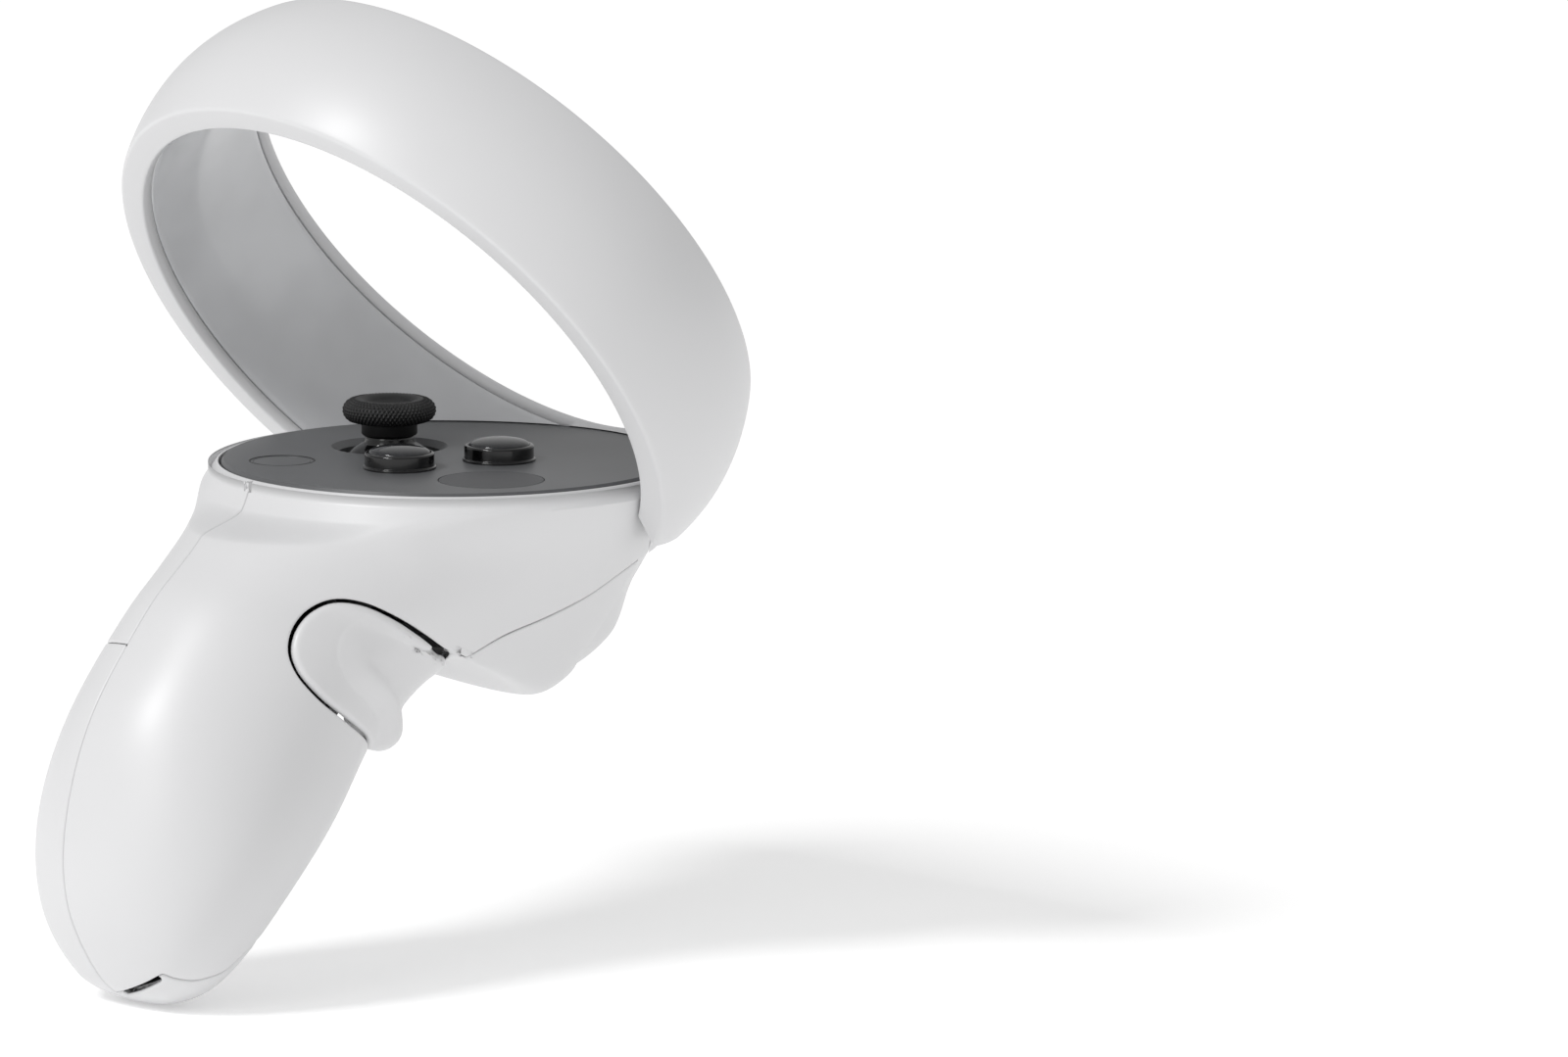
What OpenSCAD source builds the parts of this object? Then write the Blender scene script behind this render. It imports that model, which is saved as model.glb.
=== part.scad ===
// VR motion controller, left hand: a tracking ring over a round control face, with a handle
// that leans back and holds one AA cell.
// Frame: +X is where the controller points, +Y is the palm side, +Z is square to the control face.
// The origin is under the middle of the whole object, level with the lowest point of the handle.

/* [Control face] */
// Diameter of the round control face
face_d = 58; // [54:1:62]
// Thickness of the control face
face_t = 2; // [1.6:0.1:2.4]
// Gap round the control face
face_gap = 0.35; // [0.2:0.05:0.5]

/* [Shells] */
// Wall of the handle and head shells
wall = 2; // [1.6:0.1:2.4]
// Gap at the seams between fixed shells
seam = 0.12; // [0.08:0.02:0.2]
// Gap round the parts that move in a shell
move_gap = 0.4; // [0.3:0.05:0.6]

/* [Tracking ring] */
// Inside diameter at the rim that faces the user
ring_near_d = 76; // [72:1:80]
// Inside diameter at the rim that faces away
ring_far_d = 70; // [66:1:74]
// Greatest outside diameter
ring_outer_d = 86.4; // [84:0.4:92]
// Width of the ring along its axis
ring_w = 22; // [18:0.5:26]
// Tilt of the ring's axis above straight ahead
ring_tilt = 38; // [34:1:42]
// Wall of the ring's outer shell
ring_wall = 1.6; // [1.2:0.1:2]

/* [Controls] */
// Diameter of the two round buttons
button_d = 8.8; // [7.4:0.2:10.4]
// Travel of the two round buttons
button_travel = 1; // [0.8:0.1:1.2]
// Diameter of the flush menu button
menu_d = 8; // [6.8:0.2:9]
// Travel of the menu button
menu_travel = 0.4; // [0.3:0.05:0.5]
// Diameter of the thumb rest
rest_d = 13.2; // [11:0.2:15]
// Diameter of the round well that the thumbstick stands in
well_d = 13.1; // [12.4:0.1:14]
// Diameter of the thumbstick's cap
stick_cap_d = 11.7; // [10:0.1:12.6]
// Travel when the thumbstick is pressed
stick_travel = 0.5; // [0.4:0.05:0.6]

/* [Levers] */
// Radius of the hinge pins of the trigger and the grip button
pin_r = 1; // [0.8:0.05:1.2]
// Radial running clearance on a hinge pin
pin_play = 0.06; // [0.03:0.01:0.09]

/* [Battery] */
// Diameter of the AA cell
cell_d = 14.5; // [13.5:0.1:14.5]
// Length of the AA cell with its nub
cell_l = 50.5; // [49.2:0.1:50.5]

/* [Wrist strap] */
// Radius of the hole for the wrist strap
strap_r = 1.5; // [1.2:0.1:1.8]

/* [Hidden] */

k = face_d / 58;
face_r = face_d / 2;
rim_r = face_r + 2.5 * k;
// Middle of the control face above the origin
face_at = [16.2 * k, 0, 62.5 * k];

// Body form. Each row crosses the body from its rear outline to its front outline:
// rear x, rear z, front x, front z, where the widest point lies between them, half width.
form_rows = [
    [-31.5, -0.5, 31.5, -0.5, 0.50, 31.5],
    [-34.5, -3.0, 28.5, -8.5, 0.51, 28.0],
    [-38.5, -5.0, 25.0, -19.0, 0.49, 23.0],
    [-42.5, -8.0, 11.5, -31.5, 0.36, 18.5],
    [-47.5, -12.0, -3.0, -25.0, 0.44, 17.0],
    [-52.5, -17.5, -17.5, -31.0, 0.48, 17.0],
    [-59.0, -26.5, -26.5, -41.5, 0.51, 18.0],
    [-63.0, -38.0, -36.5, -52.0, 0.50, 17.5],
    [-63.5, -49.5, -46.5, -61.5, 0.52, 13.0],
    [-58.5, -59.5, -54.5, -62.5, 0.51, 6.0]
];
form_last = len(form_rows) - 1;
form_steps = 4;
form_sides = 48;

// Points of a smooth curve through four rows, at t from 0 to 1 between the middle two
function blend(a, b, c, d, t) =
    0.5 * (2 * b + (c - a) * t + (2 * a - 5 * b + 4 * c - d) * t * t + (3 * b - a - 3 * c + d) * t * t * t);
function row(i) =
    i < 0 ? 2 * form_rows[0] - form_rows[1]
    : i > form_last ? 2 * form_rows[form_last] - form_rows[form_last - 1]
    : form_rows[i];
function row_at(s) =
    let (i = min(floor(s), form_last - 1))
    blend(row(i - 1), row(i), row(i + 1), row(i + 2), s - i);
// Sine of the angle between two flat directions, kept above a floor where an outline runs along the row
function slant(a, b) = max(0.3, abs(a[0] * b[1] - a[1] * b[0]) / norm(a) / norm(b));
// One cross-section of the form, moved inwards by inset
function section(s, inset) =
    let (
        q = row_at(s) * k,
        along = row_at(s + 0.1) - row_at(s - 0.1),
        rear = [q[0], q[1]],
        front = [q[2], q[3]],
        mid = rear + q[4] / k * (front - rear),
        to_front = front - mid,
        to_rear = rear - mid,
        front_in = inset / slant(to_front, [along[2], along[3]]),
        rear_in = inset / slant(to_rear, [along[0], along[1]]),
        f = to_front * max(0.05, 1 - front_in / norm(to_front)),
        r = to_rear * max(0.05, 1 - rear_in / norm(to_rear)),
        w = q[5] - inset
    )
    [
        for (j = [0 : form_sides - 1])
            let (a = 360 * j / form_sides, c = cos(a), p = mid + (c > 0 ? c * f : -c * r))
            [p[0], w * sin(a), p[1]]
    ];
function middle(ring) = [for (i = [0 : 2]) [for (p = ring) p[i]] * [for (p = ring) 1] / len(ring)];

// Closed solid through a stack of rings that have the same number of points
module loft(rings) {
    n = len(rings[0]);
    m = len(rings);
    top = m * n;
    points = [for (ring = rings) each ring, middle(rings[0]), middle(rings[m - 1])];
    faces = [
        for (i = [0 : m - 2], j = [0 : n - 1])
            let (a = i * n + j, b = i * n + (j + 1) % n)
            each [[a, b, a + n], [b, b + n, a + n]],
        for (j = [0 : n - 1]) [top, (j + 1) % n, j],
        for (j = [0 : n - 1]) [top + 1, (m - 1) * n + j, (m - 1) * n + (j + 1) % n]
    ];
    polyhedron(points, faces);
}

// Outside of the whole body, with a rounded rim round the control face
module form(grow = 0) {
    rim_up = 1.1 * k;
    loft([
        for (b = [90 : -30 : 30])
            [for (p = section(0, -grow)) let (h = norm([p[0], p[1]]), e = (h - 1.6 * (1 - cos(b))) / h)
                [p[0] * e, p[1] * e, p[2] + (rim_up + grow) * sin(b)]],
        for (i = [0 : form_last * form_steps]) section(i / form_steps, -grow)
    ]);
}

// Room inside the body, open through the control face
module form_inside(inset = wall) {
    loft([
        [for (p = section(0, inset)) p + [0, 0, 8]],
        for (i = [0 : (form_last - 0.25) * form_steps]) section(i / form_steps, inset)
    ]);
}

// Solid between two side walls, from an outline of [x, z] points
module side_block(outline, y0, y1) {
    translate([0, y1, 0])
        rotate([90, 0, 0])
            linear_extrude(y1 - y0)
                polygon([for (p = outline) p * k]);
}

// Everything on the grip side of the lengthwise seam. Points are [y, z].
seam_line = [[5.6, 6], [5.2, -0.5], [4.5, -3], [3.2, -8], [3, -14], [3, -40], [2.2, -50], [1.2, -66]];
module grip_side(shift = 0) {
    rotate([90, 0, 90])
        linear_extrude(240, center = true)
            polygon([
                for (p = seam_line) [p[0] * k + shift, p[1] * k],
                [-60, -90],
                [-60, 60]
            ]);
}

// Frame of the ring: +Z along its axis, +X towards its lowest point, origin at the user's rim
ring_at = [-10.5 * k, 0, 14.8 * k];
module ring_frame() {
    translate(ring_at) rotate([0, 90 - ring_tilt, 0]) children();
}
module ahead_of_ring(shift = 0) {
    ring_frame() translate([-150, -150, shift]) cube([300, 300, 200]);
}

// Underside of the nose, where the trigger housing starts. Points are [x, z].
nose_line = [[-14, -20.3], [-11, -19.6], [-2.5, -18], [4, -16], [9.5, -13.4], [14, -11.8], [24, -10.5], [60, -10.5]];
module under_nose(shift = 0) {
    side_block([for (p = nose_line) [p[0] - shift, p[1] + shift], [60, -70], [-4, -70], [-4, -27], [-14 - shift, -23.5]], -60, 60);
}

// Outline of the grip button from the side. Points are [x, z].
grip_outline = [
    [-34.5, -12.2], [-37.7, -13.3], [-40.2, -15.4], [-41.5, -18], [-41.2, -20.6], [-39.6, -23], [-37, -25.4],
    [-32, -28.7], [-26, -31.8], [-18, -38], [-2, -38], [-7.5, -24], [-13, -22.4], [-17, -20.6], [-21.5, -18],
    [-27, -14.8], [-31, -12.8]
];
module grip_area(shrink, y0, y1) {
    translate([0, y1, 0])
        rotate([90, 0, 0])
            linear_extrude(y1 - y0)
                offset(delta = -shrink)
                    polygon(grip_outline * k);
}

// Line of the battery in the handle, from the centre of its lower end
lean = 35.2;
cell_at = [-51.8, 0, -51.7];
module along_handle() {
    translate(cell_at * k) rotate([0, lean, 0]) children();
}

// Hinges: trigger pin runs along Y, grip pin runs along the handle
trigger_at = [17, 0, -14.6];
grip_at = [-35.5, -11.6, -18.6];
module at_trigger() {
    translate(trigger_at * k) rotate([90, 0, 0]) children();
}
module at_grip() {
    translate(grip_at * k) rotate([0, lean, 0]) children();
}

stick_at = [0.25, 11.7, 0];
upper_at = [2.4, -6.2, 0];
lower_at = [-10.7, -1.9, 0];
menu_at = [-17.3, 12.7, 0];
rest_at = [-8.9, -16.7, 0];
boss_at = [[14.5, 13.5, 0], [-16, 3.5, 0], [12.5, -16, 0]];
strap_at = [-56.2, 0, -57];
stick_pivot = 6.4;
skirt_r = 7.6;
board_top = 6.5;

module on_face(at) {
    translate(at * k) children();
}
module whole() {
    translate(face_at) children();
}

// ---- shells ----
// Body form with room inside it. The belly between the fingers stays thicker.
module hollow_form(inset) {
    difference() {
        form();
        difference() {
            form_inside(inset);
            side_block([
                [-24, -36], [-20, -30.5], [-16, -26.5], [-10, -22.9], [-3, -22.4],
                [3, -23.5], [8, -26.5], [12, -29], [12, -60], [-24, -60]
            ], -60, 60);
        }
    }
}
module skin() {
    hollow_form(wall);
}
module face_pocket() {
    translate([0, 0, -face_t - 0.2]) cylinder(r = face_r + face_gap, h = 40, $fn = 96);
}
module strap_slot() {
    on_face([strap_at[0], -10, strap_at[2]])
        rotate([0, 38, 0])
            hull()
                for (x = [-1.6, 1.6])
                    translate([x, 0, 0]) rotate([90, 0, 0]) cylinder(r = 1.7, h = 20, center = true, $fn = 24);
}
// Bottom cap, which belongs to the battery cover
module below_cap(shift = 0) {
    side_block([[-90, -57.2 + shift], [-58, -57.2 + shift], [-49, -56.6 + shift], [-30, -53 + shift],
        [-30, -90], [-90, -90]], -60, 60);
}
// Lower part of the palm side, which belongs to the battery cover
module cover_area(shift = 0) {
    side_block([[-80, -8 + shift], [-44, -21 + shift], [-20, -30 + shift], [-20, -100], [-90, -100]], -60, 60);
}
module rib(x, y, z, h) {
    hull() {
        translate([x, y, z]) cylinder(r = 0.6, h = h, center = true, $fn = 16);
        translate([x * 0.84, y * 0.84, z]) cylinder(r = 0.6, h = h, center = true, $fn = 16);
    }
}
// Ribs under the rim that carry the control face
module rim_ribs(a0, a1, count) {
    for (i = [0 : count - 1])
        let (a = a0 + (a1 - a0) * i / (count - 1))
            rib(33 * k * cos(a), 33 * k * sin(a), -4.6 * k, 2.4 * k);
}
module grip_shell() {
    color("gainsboro")
        whole()
            difference() {
                union() {
                    intersection() {
                        skin();
                        grip_side(-seam / 2);
                    }
                    intersection() {
                        union() {
                            rim_ribs(215, 262, 6);
                            for (z = shell_screw_z) screw_boss(z);
                        }
                        form(-0.2);
                    }
                }
                face_pocket();
                ahead_of_ring(-seam);
                under_nose(seam);
                grip_area(0, -60, 10);
                below_cap();
                strap_slot();
                strap_post(0.1);
                inner_parts_room();
                for (z = shell_screw_z) at_shell_screw(z) translate([0, 0, -3]) cylinder(r = 0.95, h = 8, $fn = 24);
            }
}
module palm_shell() {
    color("gainsboro")
        whole()
            difference() {
                union() {
                    difference() {
                        skin();
                        grip_side(seam / 2);
                    }
                    intersection() {
                        rim_ribs(98, 145, 8);
                        form(-0.2);
                    }
                }
                face_pocket();
                ahead_of_ring(-seam);
                under_nose(seam);
                cover_area();
                inner_parts_room();
            }
}
module battery_cover() {
    color("gainsboro")
        whole()
            difference() {
                union() {
                    difference() {
                        intersection() {
                            skin();
                            cover_area(-seam * 2);
                        }
                        grip_side(seam);
                    }
                    intersection() {
                        skin();
                        below_cap(-seam * 2);
                    }
                    intersection() {
                        for (i = [0 : 7]) cover_rib(i);
                        form(-0.5);
                        cover_area(-1);
                    }
                }
                strap_post(0.4);
                strap_slot();
                translate([0, 20, 0]) strap_slot();
                along_handle() cylinder(r = cell_d / 2 + 2, h = cell_l + 6, center = false, $fn = 64);
                along_handle() translate([0, 0, -6]) cylinder(r = cell_d / 2 + 1.6, h = 8, $fn = 64);
            }
}
// Stiffening ribs across the inside of the battery cover
module cover_rib(i) {
    along_handle()
        translate([0, 0, (6 + 4.2 * i) * k])
            hull()
                for (y = [12, 19])
                    translate([0, y * k, 0]) cube([9, 0.8, 0.9], center = true);
}
// Room cut out of the shells for the inner parts that come near them
module inner_parts_room() {
    along_handle() translate([0, 0, -4]) cylinder(r = cell_d / 2 + 1.6, h = cell_l + 6, $fn = 64);
}
module trigger_housing() {
    color("gainsboro")
        whole()
            difference() {
                intersection() {
                    union() {
                        hollow_form(1.1);
                        intersection() {
                            for (i = [0 : 7]) housing_rib(i);
                            form();
                        }
                    }
                    under_nose(-seam);
                }
                side_block([[12.3, 0], [12.3, -24], [13.3, -29], [15.4, -50], [60, -50], [60, 0]], -60, 60);
                grip_area(-move_gap, -60, 2.8 * k);
            }
}

// Stiffening ribs along the bottom of the trigger housing
module housing_rib(i) {
    hull()
        for (y = [-9, 9])
            translate([(-2 + 1.6 * i) * k, y * k, (-24.4 - 0.5 * i) * k]) cube([0.8, 0.8, 5], center = true);
}

// ---- ring ----
function ring_r(w) =
    let (u = w / ring_w)
    ring_outer_d / 2 - (u < 0.44 ? 1.8 * pow((0.44 - u) / 0.44, 2) : 3.4 * pow((u - 0.44) / 0.56, 2));
function bore_r(w) = ring_near_d / 2 + (ring_far_d - ring_near_d) / 2 * w / ring_w;
ring_round = 0.9;
module ring_shell_profile() {
    lip = 1.5;
    polygon([
        [bore_r(0), 0.3],
        [bore_r(0) + 0.3, 0],
        [ring_r(0) - ring_round, 0],
        [ring_r(0) - 0.25, 0.25],
        for (i = [1 : 9]) [ring_r(ring_w * i / 10), ring_w * i / 10],
        [ring_r(ring_w) - 0.25, ring_w - 0.25],
        [ring_r(ring_w) - ring_round, ring_w],
        [bore_r(ring_w) + 0.3, ring_w],
        [bore_r(ring_w), ring_w - 0.3],
        [bore_r(ring_w - lip), ring_w - lip],
        [bore_r(ring_w - lip) + 1.9, ring_w - lip],
        for (i = [8 : -1 : 2]) [ring_r(ring_w * i / 10) - ring_wall, ring_w * i / 10],
        [bore_r(lip) + 1.9, lip],
        [bore_r(lip), lip]
    ]);
}
module ring_liner_profile() {
    edge = 1.5 + seam;
    back = 1.5;
    polygon([
        [bore_r(edge), edge],
        [bore_r(ring_w - edge), ring_w - edge],
        [bore_r(ring_w - edge) + back, ring_w - edge],
        [bore_r(edge) + back, edge]
    ]);
}
module ring_turn(sides) {
    ring_frame() rotate_extrude($fn = sides) children();
}
module ring_outer_shell() {
    color("whitesmoke")
        whole()
            difference() {
                union() {
                    ring_turn(72) ring_shell_profile();
                    intersection() {
                        form();
                        ahead_of_ring(seam);
                    }
                    for (i = [0 : 9]) led_seat(i);
                }
                form_inside();
                difference() {
                    form(0.01);
                    ahead_of_ring(0);
                }
                face_pocket_front();
                under_nose();
            }
}
module face_pocket_front() {
    translate([0, 0, -face_t - 0.2]) cylinder(r = face_r + face_gap, h = face_t + 2.6, $fn = 96);
}
led_count = 10;
function led_angle(i) = 60 + 240 * i / (led_count - 1);
module led_seat(i) {
    ring_frame()
        rotate([0, 0, led_angle(i)])
            hull()
                for (w = [0.35, 0.5])
                    translate([ring_r(ring_w * w) - ring_wall - 0.3, 0, ring_w * w])
                        cube([1.2, 3, 1], center = true);
}
module ring_inner_liner() {
    color("dimgray")
        whole()
            difference() {
                ring_turn(72) ring_liner_profile();
                form(0.25);
                face_pocket_front();
                for (i = [0 : 7]) liner_vent(i);
            }
}
// Small locating notches on the hidden side of the liner
module liner_vent(i) {
    ring_frame()
        rotate([0, 0, 75 + 30 * i])
            hull()
                for (w = [0.3, 0.6])
                    translate([bore_r(ring_w * w) + 1.7, 0, ring_w * w]) cube([0.8, 2, 1], center = true);
}
module ring_flex() {
    color("darkorange")
        whole()
            ring_frame()
                translate([0, 0, 0.28 * ring_w])
                    rotate([0, 0, 52])
                        rotate_extrude(angle = 256, $fn = 96)
                            translate([bore_r(0.28 * ring_w) + 1.75, 0]) square([0.25, 6]);
}
module ring_leds() {
    color("black")
        whole()
            for (i = [0 : led_count - 1])
                ring_frame()
                    rotate([0, 0, led_angle(i) + 12])
                        translate([bore_r(0.28 * ring_w) + 2.45, 0, 0.28 * ring_w + 3])
                            cube([0.8, 1.6, 1.6], center = true);
}

// ---- control face ----
module face_plate() {
    color("dimgray")
        whole()
            difference() {
                union() {
                    translate([0, 0, -face_t]) cylinder(r = face_r, h = face_t - 0.4, $fn = 96);
                    translate([0, 0, -0.4]) cylinder(r1 = face_r, r2 = face_r - 0.3, h = 0.4, $fn = 96);
                    for (p = boss_at) on_face(p) translate([0, 0, -5.4]) cylinder(r = 2.2, h = 4, $fn = 32);
                }
                on_face(stick_at) translate([0, 0, -5]) cylinder(d = well_d, h = 10, $fn = 64);
                on_face(stick_at) translate([0, 0, -0.8]) cylinder(d1 = well_d, d2 = well_d + 1.8, h = 0.9, $fn = 64);
                for (p = [upper_at, lower_at])
                    on_face(p) translate([0, 0, -5]) cylinder(r = button_d / 2 + 0.2, h = 10, $fn = 64);
                on_face(menu_at) translate([0, 0, -5]) cylinder(r = menu_d / 2 + 0.15, h = 10, $fn = 64);
                on_face(rest_at) translate([0, 0, -0.9]) cylinder(r = rest_d / 2 + 0.1, h = 2, $fn = 64);
                for (p = boss_at) on_face(p) translate([0, 0, -6]) cylinder(r = 0.9, h = 5, $fn = 24);
            }
}
module face_gasket() {
    color("black")
        whole()
            translate([0, 0, -face_t - 1])
                difference() {
                    cylinder(r = face_r - 1.6, h = 0.9, $fn = 96);
                    translate([0, 0, -1]) cylinder(r = face_r - 2.6, h = 3, $fn = 96);
                }
}
module thumb_rest() {
    color("darkslategray")
        whole()
            on_face(rest_at) translate([0, 0, -0.85]) cylinder(d = rest_d, h = 0.9, $fn = 64);
}
module round_button(height) {
    difference() {
        union() {
            translate([0, 0, -2.9]) cylinder(r = button_d / 2, h = 2.9 + height, $fn = 64);
            translate([0, 0, -2.9]) cylinder(r = button_d / 2 + 0.9, h = 0.7, $fn = 64);
            translate([0, 0, -3.6]) cylinder(r = 1.2, h = 1, $fn = 32);
        }
        translate([0, 0, height - 0.5]) cylinder(r = button_d / 2 - 0.5, h = 2, $fn = 64);
    }
}
// Clear domed inlay in the top of a round button
module button_lens(height) {
    r = button_d / 2 - 0.55;
    rise = 0.8;
    ball = (r * r + rise * rise) / (2 * rise);
    intersection() {
        translate([0, 0, height - 0.5]) cylinder(r = r, h = 0.5 + rise + 1, $fn = 64);
        translate([0, 0, height + rise - ball]) sphere(r = ball, $fn = 96);
    }
}
button_up = 2;
module upper_button() {
    color("dimgray") whole() on_face(upper_at) round_button(button_up);
}
module lower_button() {
    color("dimgray") whole() on_face(lower_at) round_button(button_up);
}
module upper_button_lens() {
    color("silver") whole() on_face(upper_at) button_lens(button_up);
}
module lower_button_lens() {
    color("silver") whole() on_face(lower_at) button_lens(button_up);
}
module menu_button() {
    color("dimgray")
        whole()
            on_face(menu_at) {
                translate([0, 0, -2.6]) cylinder(d = menu_d, h = 2.55, $fn = 64);
                translate([0, 0, -2.6]) cylinder(r = menu_d / 2 + 0.4, h = 0.4, $fn = 64);
                translate([0, 0, -4.2]) cylinder(r = 1.1, h = 2, $fn = 32);
            }
}
module button_mat() {
    color("gray")
        whole()
            difference() {
                union() {
                    for (p = [upper_at, lower_at, menu_at])
                        on_face(p) translate([0, 0, -board_top]) cylinder(r = 4.6, h = 0.5, $fn = 48);
                    for (p = [upper_at, lower_at])
                        on_face(p) translate([0, 0, -board_top]) cylinder(r1 = 4, r2 = 3.2, h = 2.4, $fn = 48);
                }
                for (p = [upper_at, lower_at, menu_at])
                    on_face(p) translate([0, 0, -board_top - 1]) cylinder(r = 2.9, h = 5, $fn = 48);
            }
}
module button_switches() {
    color("black")
        whole()
            for (p = [upper_at, lower_at, menu_at])
                on_face(p) {
                    translate([-1.6, -1.6, -board_top]) cube([3.2, 3.2, 1.4]);
                    translate([0, 0, -board_top]) cylinder(r = 0.8, h = 1.75, $fn = 32);
                }
}
module main_board() {
    color("darkgreen")
        whole()
            difference() {
                translate([0, 0, -board_top - 1]) cylinder(r = 23 * k, h = 1, $fn = 96);
                on_face(stick_at) translate([0, 0, -20]) cylinder(r = skirt_r + 0.6, h = 40, $fn = 64);
                for (p = boss_at) on_face(p) translate([0, 0, -10]) cylinder(r = 1.4, h = 20, $fn = 32);
            }
}
module board_chips() {
    color("black")
        whole() {
            on_face([-9, -11, -board_top - 1.9]) cube([7, 7, 0.9]);
            on_face([6, -11, -board_top - 1.7]) cube([4, 5, 0.7]);
            on_face([-12.5, 6, -board_top - 1.8]) cube([3, 4, 0.8]);
        }
}

// ---- thumbstick ----
module at_stick() {
    on_face(stick_at) translate([0, 0, -stick_pivot]) children();
}
module stick_cap() {
    cap_r = stick_cap_d / 2;
    color("dimgray")
        whole()
            at_stick() {
                rotate_extrude($fn = 72)
                    polygon([
                        [1.6, 9.4], [2.9, 9.2], [cap_r - 0.9, 9.5], [cap_r - 0.25, 9.9], [cap_r, 10.6],
                        [cap_r - 0.1, 11.6], [cap_r - 0.7, 12.3], [cap_r - 1.5, 12.5], [cap_r - 2.1, 12.2],
                        [cap_r - 2.6, 11.7], [1.6, 11.4]
                    ]);
                translate([0, 0, 10.6]) cylinder(r = 1.8, h = 0.8, $fn = 72);
            }
}
module stick_skirt() {
    color("black")
        whole()
            at_stick()
                rotate_extrude($fn = 72)
                    polygon([
                        for (a = [24 : 4 : 64]) skirt_r * [sin(a), cos(a)],
                        for (a = [64 : -4 : 20]) (skirt_r - 0.8) * [sin(a), cos(a)],
                        [1.6, (skirt_r - 0.8) * cos(14)],
                        [1.6, 9.2],
                        [2.9, 9.2],
                        [2.9, 7.6]
                    ]);
}
module stick_shaft() {
    color("silver")
        whole()
            at_stick() {
                translate([0, 0, 0.5]) cylinder(r = 1.5, h = 10, $fn = 48);
                sphere(r = 1.9, $fn = 48);
                rotate([90, 0, 0]) cylinder(r = 0.7, h = 7.4, center = true, $fn = 32);
            }
}
module stick_gimbal() {
    color("dimgray")
        whole()
            at_stick()
                difference() {
                    union() {
                        translate([0, 0, -0.9]) cylinder(r = 4.2, h = 1.8, $fn = 64);
                        rotate([0, 90, 0]) cylinder(r = 0.65, h = 11, center = true, $fn = 32);
                    }
                    cylinder(r = 3, h = 8, center = true, $fn = 64);
                    rotate([90, 0, 0]) cylinder(r = 0.75, h = 14, center = true, $fn = 32);
                }
}
module stick_carrier() {
    color("gray")
        whole()
            at_stick()
                difference() {
                    union() {
                        translate([0, 0, -4.4]) cylinder(r = 5, h = 1.2, $fn = 64);
                        for (x = [-1, 1]) translate([x * 5.1 - 0.5, -1.2, -4]) cube([1, 2.4, 5.1]);
                        for (x = [-1, 1]) translate([x * 4.7 - 0.6, -1.2, -4.4]) cube([1.2, 2.4, 1.2]);
                        translate([0, 0, -4.7]) cylinder(r = 1, h = 1, $fn = 32);
                    }
                    rotate([0, 90, 0]) cylinder(r = 0.7, h = 20, center = true, $fn = 32);
                }
}
module stick_base() {
    color("black")
        whole()
            at_stick()
                difference() {
                    translate([0, 0, -6.4]) cylinder(r = 6.4, h = 2.9, $fn = 64);
                    translate([0, 0, -5.6]) cylinder(r = 5.75, h = 5, $fn = 64);
                }
}
module stick_switch() {
    color("silver")
        whole()
            at_stick() translate([0, 0, -5.6]) cylinder(r = 1.6, h = 0.35, $fn = 32);
}

// ---- frame, screws, haptics ----
module frame() {
    plate_top = -board_top - 2.2;
    color("darkgray")
        whole()
            difference() {
                union() {
                    intersection() {
                        translate([0, 0, plate_top - 1.4]) cylinder(r = 22 * k, h = 1.4, $fn = 96);
                        translate([-19 * k, -30, -40]) cube([60, 60, 60]);
                    }
                    for (s = [-1, 1])
                        translate([14.2 * k, s * 7 - 0.8, trigger_at[2] * k - 2.4]) cube([5.6, 1.6, 7.4]);
                    for (p = boss_at)
                        on_face(p) translate([0, 0, plate_top - 0.5]) cylinder(r = 2.4, h = 1.5, $fn = 32);
                }
                on_face(stick_at) translate([0, 0, -30]) cylinder(r = 6.7, h = 40, $fn = 64);
                at_trigger() cylinder(r = pin_r + 0.02, h = 40, center = true, $fn = 48);
                for (p = boss_at) on_face(p) translate([0, 0, -30]) cylinder(r = 1.15, h = 40, $fn = 32);
            }
}
module face_screws() {
    color("silver")
        whole()
            for (p = boss_at)
                on_face(p) {
                    translate([0, 0, -10.6]) cylinder(r = 0.8, h = 8.4, $fn = 32);
                    translate([0, 0, -11.1]) cylinder(r = 1.7, h = 1, $fn = 32);
                }
}
haptic_at = [-3.5, 0, -17.2];
module at_haptic() {
    translate(haptic_at * k) rotate([90, 0, 0]) children();
}
module haptic_case() {
    color("silver")
        whole()
            at_haptic()
                difference() {
                    cylinder(r = 4.2, h = 16, center = true, $fn = 64);
                    cylinder(r = 3.7, h = 15, center = true, $fn = 64);
                }
}
module haptic_mass() {
    color("gray") whole() at_haptic() cylinder(r = 3.3, h = 9, center = true, $fn = 64);
}
module haptic_springs() {
    color("goldenrod")
        whole()
            at_haptic()
                for (s = [-1, 1])
                    translate([0, 0, s * 6.4]) spring_coil(2, 0.16, 1.4, 3);
}
// Coil of round wire, centred, as one swept tube
module spring_coil(r, wire, length, turns, sides = 5, per_turn = 12) {
    steps = turns * per_turn;
    loft([
        for (i = [0 : steps])
            let (a = 360 * i / per_turn)
            [for (j = [0 : sides - 1])
                let (b = 360 * j / sides, q = r + wire * cos(b))
                [q * cos(a), q * sin(a), length * (i / steps - 0.5) + wire * sin(b)]]
    ]);
}

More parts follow.
